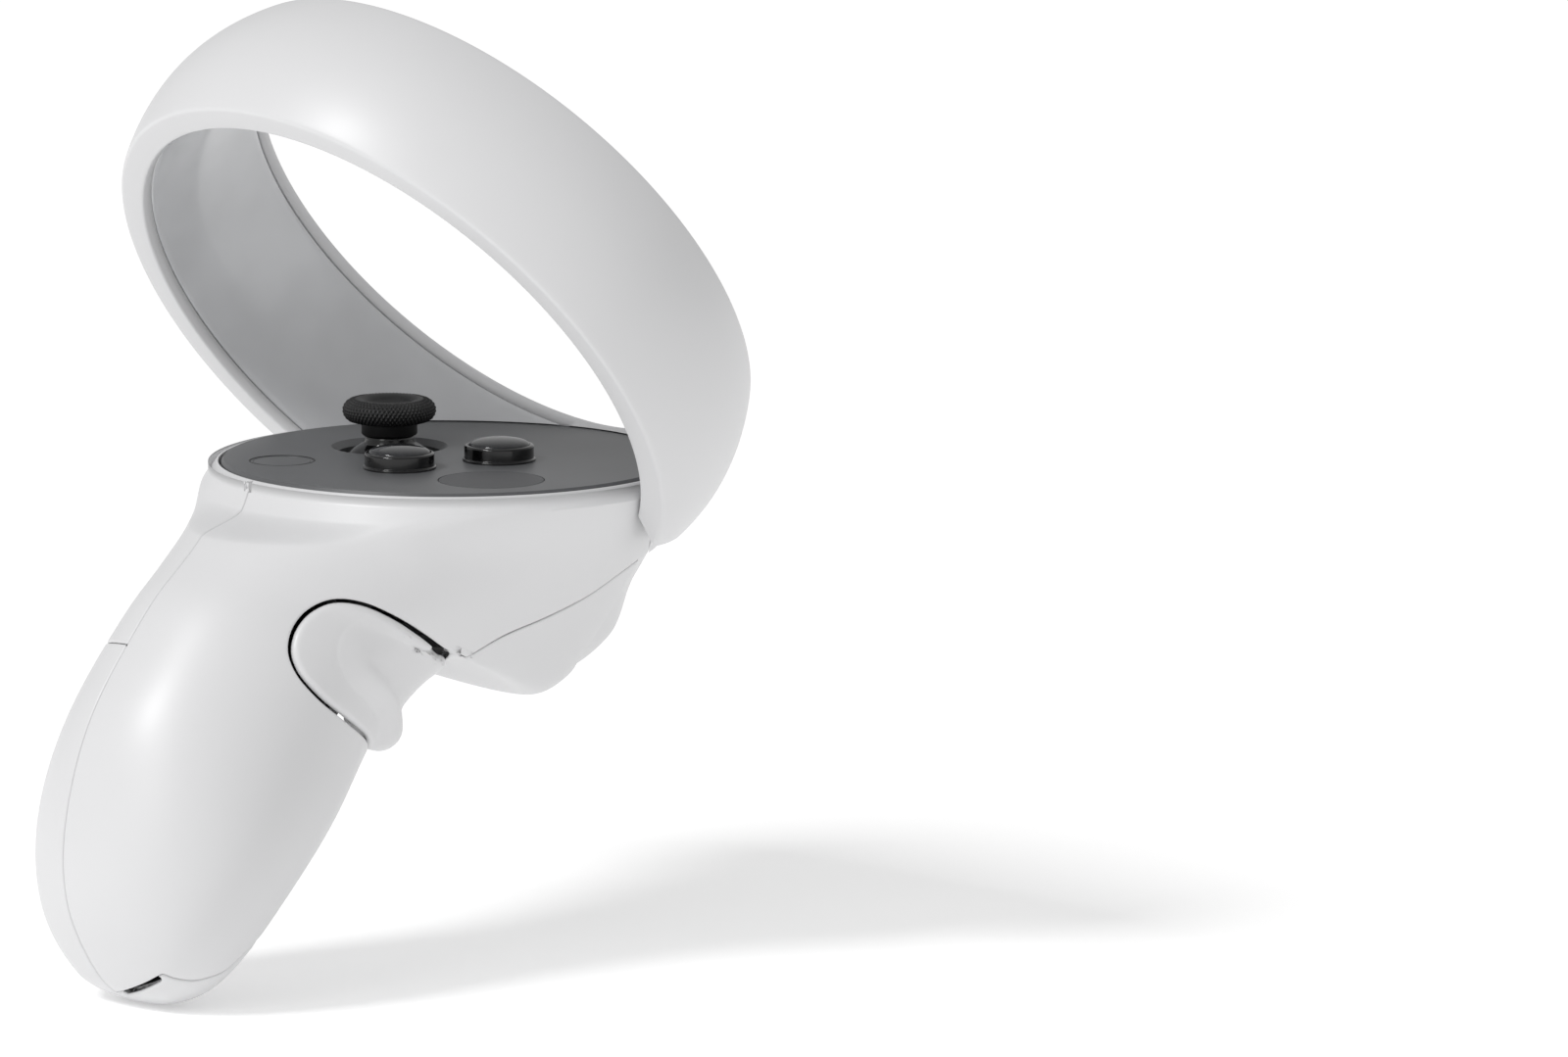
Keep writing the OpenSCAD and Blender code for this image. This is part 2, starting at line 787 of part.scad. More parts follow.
// ---- trigger ----
module finger_scoop(grow = 0) {
    translate([45 * k, 0, -20 * k]) rotate([90, 0, 0]) cylinder(r = 21 * k + grow, h = 80, center = true, $fn = 72);
}
module trigger_space(step) {
    side_block([
        [12.7 + step, -13.7 - step], [14, -13 - step], [17, -12.1 - step], [24, -11 - step], [40, -11 - step],
        [40, -50], [15.8 + step, -50], [13.7 + step, -29], [12.7 + step, -24]
    ], -60, 60);
}
module trigger() {
    color("gainsboro")
        whole()
            difference() {
                intersection() {
                    form(-1.4);
                    trigger_space(0);
                }
                finger_scoop();
                difference() {
                    intersection() {
                        form(-3);
                        union() {
                            trigger_space(-4);
                            translate([0, -60, -40 * k]) cube([14 * k, 120, 60]);
                        }
                    }
                    finger_scoop(1.8);
                    for (i = [0 : 7]) trigger_rib(i);
                }
                lever_shape(0.05);
                trigger_room();
            }
}
// Stiffening ribs inside the trigger
module trigger_rib(i) {
    side = i % 2 == 0 ? 1 : -1;
    row_n = floor(i / 2);
    hull()
        for (x = [14, 22])
            translate([x * k, side * (7.2 + 0.4 * row_n) * k, (-19.5 - 1.9 * row_n) * k]) cube([0.8, 3.4, 0.7], center = true);
}
// Space that the frame's ears and the pin need as the trigger swings
module trigger_room() {
    at_trigger() cylinder(r = 3.2, h = 17.4, center = true, $fn = 48);
}
module lever_shape(grow = 0) {
    at_trigger() cylinder(r = 2.3 + grow, h = 9.2 + 2 * grow, center = true, $fn = 48);
    translate([(trigger_at[0] - 1.2) * k - grow, -3 - grow, (trigger_at[2] - 9.2) * k - grow])
        cube([2.4 + 2 * grow, 6 + 2 * grow, 9.2 * k + 2 * grow]);
    translate([(trigger_at[0] - 1.2) * k - grow, -3 - grow, (trigger_at[2] - 9.2) * k - grow])
        cube([4 * k + 2 * grow, 6 + 2 * grow, 2.4 + 2 * grow]);
}
module trigger_lever() {
    color("gray")
        whole()
            difference() {
                lever_shape();
                at_trigger() cylinder(r = pin_r + pin_play, h = 20, center = true, $fn = 48);
                translate([(trigger_at[0] - 2.2) * k, 0, (trigger_at[2] - 6) * k])
                    rotate([0, 90, 0]) cylinder(r = 1.3, h = 2.05, $fn = 32);
            }
}
module trigger_pin() {
    color("silver") whole() at_trigger() cylinder(r = pin_r, h = 17, center = true, $fn = 48);
}
module trigger_spring() {
    color("silver") whole() at_trigger() translate([0, 0, 5.4]) spring_coil(1.6, 0.16, 0.9, 3);
}
module trigger_magnet() {
    color("silver")
        whole()
            translate([(trigger_at[0] - 2.2) * k + 1, 0, (trigger_at[2] - 6) * k])
                rotate([0, 90, 0]) cylinder(r = 1.25, h = 1, $fn = 32);
}
module trigger_sensor() {
    color("black")
        whole()
            translate([6.6 * k, -2, -20.6 * k]) cube([0.8, 4, 3]);
}

// ---- grip button ----
module grip_button() {
    raise = 0.8;
    color("gainsboro")
        whole()
            difference() {
                union() {
                    intersection() {
                        form(raise);
                        grip_area(move_gap, -60, -1.5 * k);
                    }
                    intersection() {
                        form(-wall - 0.5);
                        grip_area(move_gap, -20, 2.2 * k);
                    }
                }
                difference() {
                    form(-1.4);
                    grip_tuck();
                    for (i = [0 : 7]) grip_rib(i);
                }
                form(-wall - 2.2);
                grip_room();
                lever_grip(0.05);
            }
}
// Edge of the grip button that slides in under the palm shell
module grip_tuck() {
    translate([-60, -3 * k, -60]) cube([120, 60, 80]);
}
module grip_rib(i) {
    at_grip()
        translate([(3 + 2.2 * i) * k, -3.6 * k, -2 * k])
            hull()
                for (z = [-4, 4])
                    translate([0, 0, z]) cube([0.8, 5, 1], center = true);
}
module grip_room() {
    at_grip() cylinder(r = 3, h = 14.5, center = true, $fn = 48);
}
module lever_grip(grow = 0) {
    at_grip() {
        cylinder(r = 2.1 + grow, h = 7 + 2 * grow, center = true, $fn = 48);
        translate([-grow, -1.6 - grow, -3.5 - grow]) cube([12 * k + 2 * grow, 2 + 2 * grow, 7 + 2 * grow]);
        translate([9.6 * k - grow, -3 * k - grow, -3.5 - grow])
            cube([2.4 * k + 2 * grow, 3 * k + 2 * grow, 7 + 2 * grow]);
    }
}
module grip_lever() {
    color("gray")
        whole()
            difference() {
                lever_grip();
                at_grip() cylinder(r = pin_r + pin_play, h = 20, center = true, $fn = 48);
                at_grip() translate([7 * k, 0.5, 0]) rotate([90, 0, 0]) cylinder(r = 1.3, h = 1.2, $fn = 32);
            }
}
module grip_pin() {
    color("silver") whole() at_grip() cylinder(r = pin_r, h = 13.4, center = true, $fn = 48);
}
module grip_bracket() {
    color("darkgray")
        whole()
            at_grip()
                difference() {
                    union() {
                        for (s = [-1, 1])
                            translate([-2, -1.8, s * 5.4 - 1]) cube([4.2, 4.6, 2]);
                        translate([-2, 2.4, -6.4]) cube([4.2, 0.8, 12.8]);
                    }
                    cylinder(r = pin_r + 0.02, h = 30, center = true, $fn = 48);
                }
}
module grip_spring() {
    color("silver")
        whole() at_grip() translate([0, 0, 3.95]) spring_coil(1.5, 0.12, 0.4, 2);
}
module grip_magnet() {
    color("silver")
        whole()
            at_grip() translate([7 * k, 0.4, 0]) rotate([90, 0, 0]) cylinder(r = 1.25, h = 1, $fn = 32);
}
module grip_sensor() {
    color("black")
        whole() at_grip() translate([5.5 * k, 2.4, -1.5]) cube([3, 0.5, 3]);
}

// ---- battery ----
module battery_tray() {
    inside = cell_d / 2 + 0.3;
    color("dimgray")
        whole()
            along_handle()
                difference() {
                    translate([0, 0, -3.4]) cylinder(r = inside + 0.9, h = cell_l + 5.2, $fn = 64);
                    translate([0, 0, -2.6]) cylinder(r = inside, h = cell_l + 3.6, $fn = 64);
                    translate([-20, 1.5, -10]) cube([40, 40, cell_l + 20]);
                }
}
module battery_cell() {
    color("royalblue")
        whole()
            along_handle() {
                cylinder(d = cell_d, h = cell_l - 1.5, $fn = 64);
                cylinder(r = 2.6, h = cell_l, $fn = 32);
            }
}
module battery_contact() {
    color("goldenrod")
        whole()
            along_handle() translate([0, -2.2, cell_l + 0.1]) translate([-3, -3, 0]) cube([6, 6, 0.5]);
}
module battery_spring() {
    color("silver") whole() along_handle() translate([0, 0, -1.3]) spring_coil(3.2, 0.25, 1.8, 3);
}
module strap_post(grow = 0) {
    translate(strap_at * k) rotate([90, 0, 0]) cylinder(r = strap_r + 0.9 + grow, h = 8 * k, center = true, $fn = 48);
}
module strap_boss() {
    color("dimgray")
        whole()
            difference() {
                strap_post();
                translate(strap_at * k) rotate([90, 0, 0]) cylinder(r = strap_r, h = 40, center = true, $fn = 48);
            }
}
// Screws that hold the grip shell, under the battery cover
shell_screw_z = [18, 30];
module at_shell_screw(z) {
    along_handle() translate([10.2 * k, 0, z * k]) rotate([90, 0, 0]) children();
}
module screw_boss(z) {
    at_shell_screw(z)
        hull() {
            translate([0, 0, -1.4]) cylinder(r = 2, h = 18 * k, $fn = 24);
            translate([2, 0, 6 * k]) cylinder(r = 2, h = 10 * k, $fn = 24);
        }
}
module antenna() {
    color("goldenrod")
        whole()
            translate([-3.5, -21.6 * k, -board_top - 1.2]) cube([7, 1.6, 0.2]);
}
module shell_screws() {
    color("silver")
        whole()
            for (z = shell_screw_z)
                at_shell_screw(z) {
                    translate([0, 0, -1.5]) cylinder(r = 0.9, h = 6.2, $fn = 32);
                    translate([0, 0, -2.5]) cylinder(r = 1.4, h = 1, $fn = 32);
                }
}

grip_shell();
palm_shell();
battery_cover();
trigger_housing();
ring_outer_shell();
ring_inner_liner();
face_plate();
face_gasket();
thumb_rest();
upper_button();
lower_button();
upper_button_lens();
lower_button_lens();
menu_button();
button_mat();
main_board();
button_switches();
board_chips();
stick_cap();
stick_skirt();
stick_shaft();
stick_gimbal();
stick_carrier();
stick_base();
stick_switch();
frame();
face_screws();
ring_flex();
ring_leds();
trigger();
trigger_lever();
trigger_pin();
trigger_spring();
trigger_magnet();
trigger_sensor();
grip_button();
grip_lever();
grip_bracket();
grip_pin();
grip_spring();
grip_magnet();
grip_sensor();
haptic_case();
haptic_mass();
haptic_springs();
battery_tray();
battery_cell();
battery_contact();
battery_spring();
strap_boss();
antenna();
shell_screws();
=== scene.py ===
from math import cos, pi, radians, sin

import bpy
import numpy as np
from mathutils import Matrix, Vector


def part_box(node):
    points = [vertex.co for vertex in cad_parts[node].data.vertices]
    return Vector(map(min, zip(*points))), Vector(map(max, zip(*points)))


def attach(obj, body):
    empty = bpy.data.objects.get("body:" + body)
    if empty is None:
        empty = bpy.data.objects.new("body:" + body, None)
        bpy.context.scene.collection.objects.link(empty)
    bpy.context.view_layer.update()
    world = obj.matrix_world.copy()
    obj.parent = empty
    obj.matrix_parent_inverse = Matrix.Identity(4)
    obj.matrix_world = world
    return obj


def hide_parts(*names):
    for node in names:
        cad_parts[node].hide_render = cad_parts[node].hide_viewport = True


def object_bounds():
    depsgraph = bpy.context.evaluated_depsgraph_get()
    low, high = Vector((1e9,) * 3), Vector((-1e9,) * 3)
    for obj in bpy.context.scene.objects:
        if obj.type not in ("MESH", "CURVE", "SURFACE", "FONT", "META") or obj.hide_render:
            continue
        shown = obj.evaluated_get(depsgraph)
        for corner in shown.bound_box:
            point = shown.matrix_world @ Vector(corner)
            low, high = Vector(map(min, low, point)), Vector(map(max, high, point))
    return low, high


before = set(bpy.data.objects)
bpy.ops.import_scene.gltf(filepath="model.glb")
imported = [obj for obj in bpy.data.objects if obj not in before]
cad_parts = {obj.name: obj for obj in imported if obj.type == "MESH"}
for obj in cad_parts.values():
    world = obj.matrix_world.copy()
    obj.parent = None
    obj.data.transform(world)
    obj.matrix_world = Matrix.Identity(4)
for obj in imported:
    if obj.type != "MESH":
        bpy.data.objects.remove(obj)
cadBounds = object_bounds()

# Left-hand motion controller. Every shape is worked out in millimetres about the middle of the
# control face (+x forward, +y palm side, +z square to the face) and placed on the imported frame.
mm = 0.001
plateLow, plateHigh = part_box("face_plate")
faceCentre = np.array([(plateLow.x + plateHigh.x) / 2, (plateLow.y + plateHigh.y) / 2, plateHigh.z])


# ---------- small tools ----------
def smoothStep(x):
    x = np.clip(x, 0, 1)
    return x * x * (3 - 2 * x)


def closedCurve(points, steps=5):
    # Smooth closed outline: each stretch is a cubic through its two points, aimed by their neighbours
    p = np.asarray(points, float)
    a, b, c, d = np.roll(p, 1, 0), p, np.roll(p, -1, 0), np.roll(p, -2, 0)
    t = (np.arange(steps) / steps)[None, :, None]
    a, b, c, d = (q[:, None, :] for q in (a, b, c, d))
    curve = 0.5 * (2 * b + (c - a) * t + (2 * a - 5 * b + 4 * c - d) * t**2 + (3 * b - a - 3 * c + d) * t**3)
    return curve.reshape(-1, p.shape[1])


def openCurve(points, steps=5):
    # The same cubic along a line with two ends, which it carries straight on
    p = np.asarray(points, float)
    q = np.vstack([2 * p[0] - p[1], p, 2 * p[-1] - p[-2]])
    a, b, c, d = q[:-3, None], q[1:-2, None], q[2:-1, None], q[3:, None]
    t = (np.arange(steps) / steps)[None, :, None]
    curve = 0.5 * (2 * b + (c - a) * t + (2 * a - 5 * b + 4 * c - d) * t**2 + (3 * b - a - 3 * c + d) * t**3)
    return np.vstack([curve.reshape(-1, p.shape[1]), p[-1:]])


def sideOf(flat, line, closed=False):
    # Signed distance of flat points from a line: positive on its left, or inside a closed line
    # that runs anticlockwise. The nearest stretch decides the side.
    start = line if closed else line[:-1]
    run = (np.roll(line, -1, 0) if closed else line[1:]) - start
    reach = np.full(len(flat), 1e9)
    side = np.ones(len(flat))
    keep = (run**2).sum(1) > 1e-12
    start, run = start[keep], run[keep]
    away = flat[:, None, :] - start[None]
    along = (away * run).sum(2) / (run**2).sum(1)
    inner = np.clip(along, 0, 1)
    if not closed:
        inner[:, 0] = np.minimum(along[:, 0], 1)
        inner[:, -1] = np.maximum(along[:, -1], 0)
    gap = away - inner[..., None] * run
    size = (gap**2).sum(2)
    near = size.argmin(1)
    rows = np.arange(len(flat))
    reach = np.sqrt(size[rows, near])
    if closed:
        x, y = flat[:, 0, None], flat[:, 1, None]
        x0, y0 = start[:, 0], start[:, 1]
        x1, y1 = x0 + run[:, 0], y0 + run[:, 1]
        crosses = ((y0 > y) != (y1 > y)) & (x < x0 + (y - y0) * (x1 - x0) / np.where(y1 == y0, 1e-9, y1 - y0))
        return np.where(crosses.sum(1) % 2 == 1, reach, -reach)
    turn = run[near, 0] * gap[rows, near, 1] - run[near, 1] * gap[rows, near, 0]
    return np.where(turn >= 0, reach, -reach)


def gridTriangles(rows, columns, wrap=True):
    # Two triangles for each cell of a grid of points, closed across its last column
    i, j = np.meshgrid(np.arange(rows - 1), np.arange(columns if wrap else columns - 1), indexing="ij")
    a = i * columns + j
    b = i * columns + (j + 1) % columns
    c, d = a + columns, b + columns
    return np.concatenate([np.stack([a, b, d], -1).reshape(-1, 3), np.stack([a, d, c], -1).reshape(-1, 3)])


def cutMesh(points, triangles, level):
    # Splits each triangle that the level's zero line crosses. Returns the points, the triangles
    # on the positive side and those on the other side.
    level = np.where(np.abs(level) < 1e-7, 1e-7, level)
    above = level > 0
    count = above[triangles].sum(1)
    kept, dropped = [triangles[count == 3]], [triangles[count == 0]]
    odd = []
    for number, sign in ((1, True), (2, False)):
        some = triangles[count == number]
        first = (above[some] == sign).argmax(1)
        odd.append(some[np.arange(len(some))[:, None], (first[:, None] + np.arange(3)) % 3])
    mixed = np.concatenate(odd)
    if len(mixed) == 0:
        return points, kept[0], dropped[0]
    edges = np.sort(np.concatenate([mixed[:, [0, 1]], mixed[:, [0, 2]]]), 1)
    unique, where = np.unique(edges, axis=0, return_inverse=True)
    where = where.reshape(-1) + len(points)
    share = level[unique[:, 0]] / (level[unique[:, 0]] - level[unique[:, 1]])
    share = np.where(share < 0.03, 0, np.where(share > 0.97, 1, share))
    fresh = points[unique[:, 0]] + share[:, None] * (points[unique[:, 1]] - points[unique[:, 0]])
    ab, ac = where[: len(mixed)], where[len(mixed):]
    tip = np.stack([mixed[:, 0], ab, ac], 1)
    base = np.concatenate([np.stack([ab, mixed[:, 1], mixed[:, 2]], 1), np.stack([ab, mixed[:, 2], ac], 1)])
    single = len(odd[0])
    both = np.concatenate([np.arange(len(mixed)), np.arange(len(mixed))])
    kept += [tip[:single], base[both >= single]]
    dropped += [tip[single:], base[both < single]]
    return np.vstack([points, fresh]), np.vstack(kept), np.vstack(dropped)


def compact(points, triangles):
    # Joins points that meet, then drops thin leftovers and points that no triangle uses
    _, index, where = np.unique(np.round(points / 0.004).astype(np.int64), axis=0, return_index=True,
                                return_inverse=True)
    points, triangles = points[index], where.reshape(-1)[triangles]
    p = points[triangles]
    area = np.linalg.norm(np.cross(p[:, 1] - p[:, 0], p[:, 2] - p[:, 0]), axis=1)
    triangles = triangles[area > 1e-6]
    used, where = np.unique(triangles, return_inverse=True)
    return points[used], where.reshape(-1, 3)


def normalsOf(points, triangles):
    # Area-weighted average of the triangles round each point
    p = points[triangles]
    face = np.cross(p[:, 1] - p[:, 0], p[:, 2] - p[:, 0])
    total = np.zeros_like(points)
    for corner in range(3):
        np.add.at(total, triangles[:, corner], face)
    return total / np.maximum(np.linalg.norm(total, axis=1, keepdims=True), 1e-12)


def carve(points, triangles, fields, edge=0.3):
    # Keeps the part where every field is positive, then rounds its edge: points closer to the
    # edge than its radius sink along a quarter circle.
    for field in fields:
        points, triangles, _ = cutMesh(points, triangles, field(points))
        points, triangles = compact(points, triangles)
    if edge:
        for share in (0.1, 0.4, 1.0):
            for field in fields:
                points, inner, outer = cutMesh(points, triangles, field(points) - share * edge)
                triangles = np.vstack([inner, outer])
        points, triangles = compact(points, triangles)
        nearest = np.min([field(points) for field in fields], 0)
        inward = edge - np.clip(nearest, 0, edge)
        rimFree = smoothStep((-0.6 - points[:, 2]) / 1.2)
        sink = rimFree * (edge - np.sqrt(edge**2 - inward**2))
        points = points - normalsOf(points, triangles) * sink[:, None]
    return points, triangles


def thicken(points, triangles, wall):
    # Adds an inner skin a wall's thickness in and joins the two along every open edge
    count = len(points)
    edges = np.concatenate([triangles[:, [0, 1]], triangles[:, [1, 2]], triangles[:, [2, 0]]])
    border = edges[~np.isin(edges[:, 0] * count + edges[:, 1], edges[:, 1] * count + edges[:, 0])]
    a, b = border.T
    sides = np.concatenate([np.stack([b, a, a + count], 1), np.stack([b, a + count, b + count], 1)])
    inner = points - normalsOf(points, triangles) * np.reshape(wall, (-1, 1))
    sharp = np.concatenate([border, border + count])
    return np.vstack([points, inner]), np.vstack([triangles, triangles[:, ::-1] + count, sides]), sharp


def placePiece(name, points, triangles, material, body, nodes, wall=None):
    mesh = bpy.data.meshes.new(name)
    if wall is not None:
        points, triangles, sharp = thicken(points, triangles, wall)
    mesh.from_pydata((faceCentre + points * mm).tolist(), [], triangles.tolist())
    mesh.validate()
    mesh.polygons.foreach_set("use_smooth", np.ones(len(mesh.polygons), bool))
    if wall is not None:
        ends = np.empty(2 * len(mesh.edges), dtype=np.int64)
        mesh.edges.foreach_get("vertices", ends)
        ends, sharp = np.sort(ends.reshape(-1, 2), 1), np.sort(sharp, 1)
        mesh.edges.foreach_set("use_edge_sharp", np.isin(ends @ [len(points), 1], sharp @ [len(points), 1]))
    mesh.update()
    piece = bpy.data.objects.new(name, mesh)
    bpy.context.scene.collection.objects.link(piece)
    mesh.materials.append(material)
    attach(piece, body)
    if nodes:
        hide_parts(*nodes)
    return piece


def lathe(profile, sides):
    # A profile of [radius, height] points turned once round the z axis, grid closed round the turn
    profile = np.asarray(profile, float)
    angle = np.arange(sides) * 2 * pi / sides
    points = np.stack([
        profile[:, 0, None] * np.cos(angle),
        profile[:, 0, None] * np.sin(angle),
        np.repeat(profile[:, 1, None], sides, 1)], -1)
    return points.reshape(-1, 3), gridTriangles(len(profile), sides)


def softProfile(corners, radii, steps=5):
    # A line through corners, each rounded by an arc-like curve that starts its radius away
    corners = np.asarray(corners, float)
    out = [corners[:1]]
    for i, radius in enumerate(radii, start=1):
        here = corners[i]
        back, ahead = corners[i - 1] - here, corners[i + 1] - here
        reach = min(radius, 0.49 * np.linalg.norm(back), 0.49 * np.linalg.norm(ahead))
        a = here + back / np.linalg.norm(back) * reach
        b = here + ahead / np.linalg.norm(ahead) * reach
        t = np.linspace(0, 1, steps + 1)[:, None]
        out.append((1 - t) ** 2 * a + 2 * t * (1 - t) * here + t**2 * b)
    out.append(corners[-1:])
    return np.vstack(out)


# ---------- materials ----------
def linear(hexColour):
    # sRGB hex to the linear values that the shader uses
    values = np.array([int(hexColour[i:i + 2], 16) / 255 for i in (1, 3, 5)])
    return (*np.where(values <= 0.04045, values / 12.92, ((values + 0.055) / 1.055) ** 2.4), 1.0)


def addNode(tree, kind, settings=None, **links):
    node = tree.nodes.new(kind)
    for key, value in (settings or {}).items():
        if key in node.inputs:
            node.inputs[key].default_value = value
        else:
            setattr(node, key, value)
    for key, source in links.items():
        tree.links.new(source, node.inputs[key.replace("_", " ")])
    return node


def moulded(name, colour, roughness, grain=0.3, depth=0.02, tint=0.03, shine=None):
    # A moulded plastic or rubber: a fine spark-eroded grain of so many millimetres, slow patches
    # of sheen from handling, and a colour that drifts by a few hundredths
    material = bpy.data.materials.new(name)
    material.use_nodes = True
    tree = material.node_tree
    shader = tree.nodes["Principled BSDF"]
    place = addNode(tree, "ShaderNodeTexCoord").outputs["Object"]
    fine = addNode(tree, "ShaderNodeTexNoise", {"Scale": 1 / (grain * mm), "Detail": 2.0}, Vector=place)
    slow = addNode(tree, "ShaderNodeTexNoise", {"Scale": 1 / (22 * mm), "Detail": 3.0}, Vector=place)
    dark = tuple(c * (1 - tint) for c in linear(colour)[:3]) + (1.0,)
    ramp = addNode(tree, "ShaderNodeValToRGB", {}, Fac=slow.outputs["Fac"])
    ramp.color_ramp.elements[0].position, ramp.color_ramp.elements[1].position = 0.35, 0.65
    ramp.color_ramp.elements[0].color, ramp.color_ramp.elements[1].color = dark, linear(colour)
    tree.links.new(ramp.outputs["Color"], shader.inputs["Base Color"])
    spread = addNode(tree, "ShaderNodeMapRange", {"To Min": roughness * 0.9, "To Max": roughness * 1.12},
                     Value=slow.outputs["Fac"])
    tree.links.new(spread.outputs["Result"], shader.inputs["Roughness"])
    if depth:
        bump = addNode(tree, "ShaderNodeBump", {"Strength": 0.35, "Distance": depth * mm},
                       Height=fine.outputs["Fac"])
        tree.links.new(bump.outputs["Normal"], shader.inputs["Normal"])
    for key, value in (shine or {}).items():
        shader.inputs[key].default_value = value
    return material


def metal(name, colour, roughness, grain=0.4):
    # Plated or drawn metal: full metallic, with fine scratches that vary its roughness
    material = bpy.data.materials.new(name)
    material.use_nodes = True
    tree = material.node_tree
    shader = tree.nodes["Principled BSDF"]
    shader.inputs["Base Color"].default_value = linear(colour)
    shader.inputs["Metallic"].default_value = 1.0
    place = addNode(tree, "ShaderNodeTexCoord").outputs["Object"]
    stretch = addNode(tree, "ShaderNodeMapping", {"Scale": (1, 1, 0.12)}, Vector=place)
    fine = addNode(tree, "ShaderNodeTexNoise", {"Scale": 1 / (grain * mm), "Detail": 3.0},
                   Vector=stretch.outputs["Vector"])
    spread = addNode(tree, "ShaderNodeMapRange", {"To Min": roughness * 0.7, "To Max": roughness * 1.4},
                     Value=fine.outputs["Fac"])
    tree.links.new(spread.outputs["Result"], shader.inputs["Roughness"])
    return material


whiteAbs = moulded("whiteAbsSatin", "#D8D8D9", 0.4, grain=0.25, depth=0.008, tint=0.012,
                   shine={"IOR": 1.53, "Coat Weight": 0.08, "Coat Roughness": 0.25})
ringLinerPlastic = moulded("infraredClearPolycarbonate", "#D3D4D6", 0.2, grain=0.6, depth=0.003, tint=0.16,
                           shine={"IOR": 1.58, "Coat Weight": 0.5, "Coat Roughness": 0.06})
facePlastic = moulded("faceGreyAbs", "#58595B", 0.42, grain=0.18, depth=0.012, tint=0.03, shine={"IOR": 1.53})
padPlastic = moulded("thumbRestTexture", "#4A4B4D", 0.55, grain=0.35, depth=0.03, tint=0.04, shine={"IOR": 1.5})
menuPlastic = moulded("menuButtonAbs", "#545557", 0.36, grain=0.18, depth=0.01, tint=0.03, shine={"IOR": 1.53})
glossBlack = moulded("glossBlackPolycarbonate", "#050506", 0.14, grain=1.2, depth=0.0, tint=0.1,
                     shine={"IOR": 1.5, "Coat Weight": 0.15, "Coat Roughness": 0.03})
softRubber = moulded("thumbstickRubber", "#0C0C0D", 0.5, grain=0.2, depth=0.02, tint=0.1, shine={"IOR": 1.5})
# Near-black for the thin ring round the menu button: painted shade standing in for the shadow down the gap between
# button and plate
grooveShadePaint = moulded("grooveShadePaint", "#161617", 0.5, grain=0.3, depth=0.0, tint=0.1)
gasketRubber = moulded("gasketFoam", "#101011", 0.85, grain=0.3, depth=0.05, tint=0.15)
matSilicone = moulded("keypadSilicone", "#8E8F92", 0.5, grain=0.4, depth=0.01, tint=0.05)
innerNylon = moulded("glassFilledNylon", "#2E2F31", 0.5, grain=0.25, depth=0.03, tint=0.15)
strapNylon = moulded("strapBarNylon", "#77787B", 0.45, grain=0.3, depth=0.02, tint=0.08)
boardMask = moulded("boardSolderMask", "#0E3A20", 0.3, grain=0.5, depth=0.01, tint=0.2)
chipEpoxy = moulded("chipMouldedEpoxy", "#171718", 0.45, grain=0.2, depth=0.01, tint=0.1)
ledEpoxy = moulded("emitterEpoxy", "#1C1220", 0.12, grain=0.5, depth=0.0, tint=0.1)
flexFilm = moulded("polyimideFilm", "#A8641C", 0.25, grain=0.6, depth=0.005, tint=0.12)
cellWrap = moulded("cellWrapFilm", "#2B4E86", 0.22, grain=2.5, depth=0.004, tint=0.06)
platedSteel = metal("nickelPlatedSteel", "#C3C4C6", 0.24)
tungsten = metal("sinteredTungsten", "#77787A", 0.45, grain=0.2)
magnetNickel = metal("magnetNickel", "#D2D3D5", 0.12)
goldContact = metal("goldPlatedBronze", "#DDBB6A", 0.2)

clearDome = bpy.data.materials.new("clearAcrylicDome")  # clear acrylic over the black button
clearDome.use_nodes = True
domeTree = clearDome.node_tree
domeShader = domeTree.nodes["Principled BSDF"]
domeShader.inputs["Base Color"].default_value = linear("#3C3D40")
domeShader.inputs["IOR"].default_value = 1.49
domeShader.inputs["Transmission Weight"].default_value = 0.55
domePlace = addNode(domeTree, "ShaderNodeTexCoord").outputs["Object"]
domeNoise = addNode(domeTree, "ShaderNodeTexNoise", {"Scale": 1 / (3 * mm), "Detail": 2.0}, Vector=domePlace)
domeSpread = addNode(domeTree, "ShaderNodeMapRange", {"To Min": 0.03, "To Max": 0.06},
                     Value=domeNoise.outputs["Fac"])
domeTree.links.new(domeSpread.outputs["Result"], domeShader.inputs["Roughness"])

cadFinish = {
    "face_plate": facePlastic, "face_gasket": gasketRubber, "button_mat": matSilicone, "main_board": boardMask,
    "button_switches": platedSteel, "board_chips": chipEpoxy, "stick_shaft": platedSteel,
    "stick_gimbal": innerNylon, "stick_carrier": innerNylon, "stick_base": innerNylon,
    "stick_switch": platedSteel, "frame": innerNylon, "face_screws": platedSteel, "ring_flex": flexFilm,
    "ring_leds": ledEpoxy, "trigger_lever": innerNylon, "trigger_pin": platedSteel,
    "trigger_spring": platedSteel, "trigger_magnet": magnetNickel, "trigger_sensor": chipEpoxy,
    "grip_lever": innerNylon, "grip_bracket": innerNylon, "grip_pin": platedSteel, "grip_spring": platedSteel,
    "grip_magnet": magnetNickel, "grip_sensor": chipEpoxy, "haptic_case": platedSteel, "haptic_mass": tungsten,
    "haptic_springs": platedSteel, "battery_tray": innerNylon, "battery_cell": cellWrap,
    "battery_contact": goldContact, "battery_spring": platedSteel, "strap_boss": strapNylon,
    "antenna": goldContact, "shell_screws": platedSteel,
}
for node, finish in cadFinish.items():
    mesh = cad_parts[node].data
    mesh.materials.clear()
    mesh.materials.append(finish)
print("materials done")

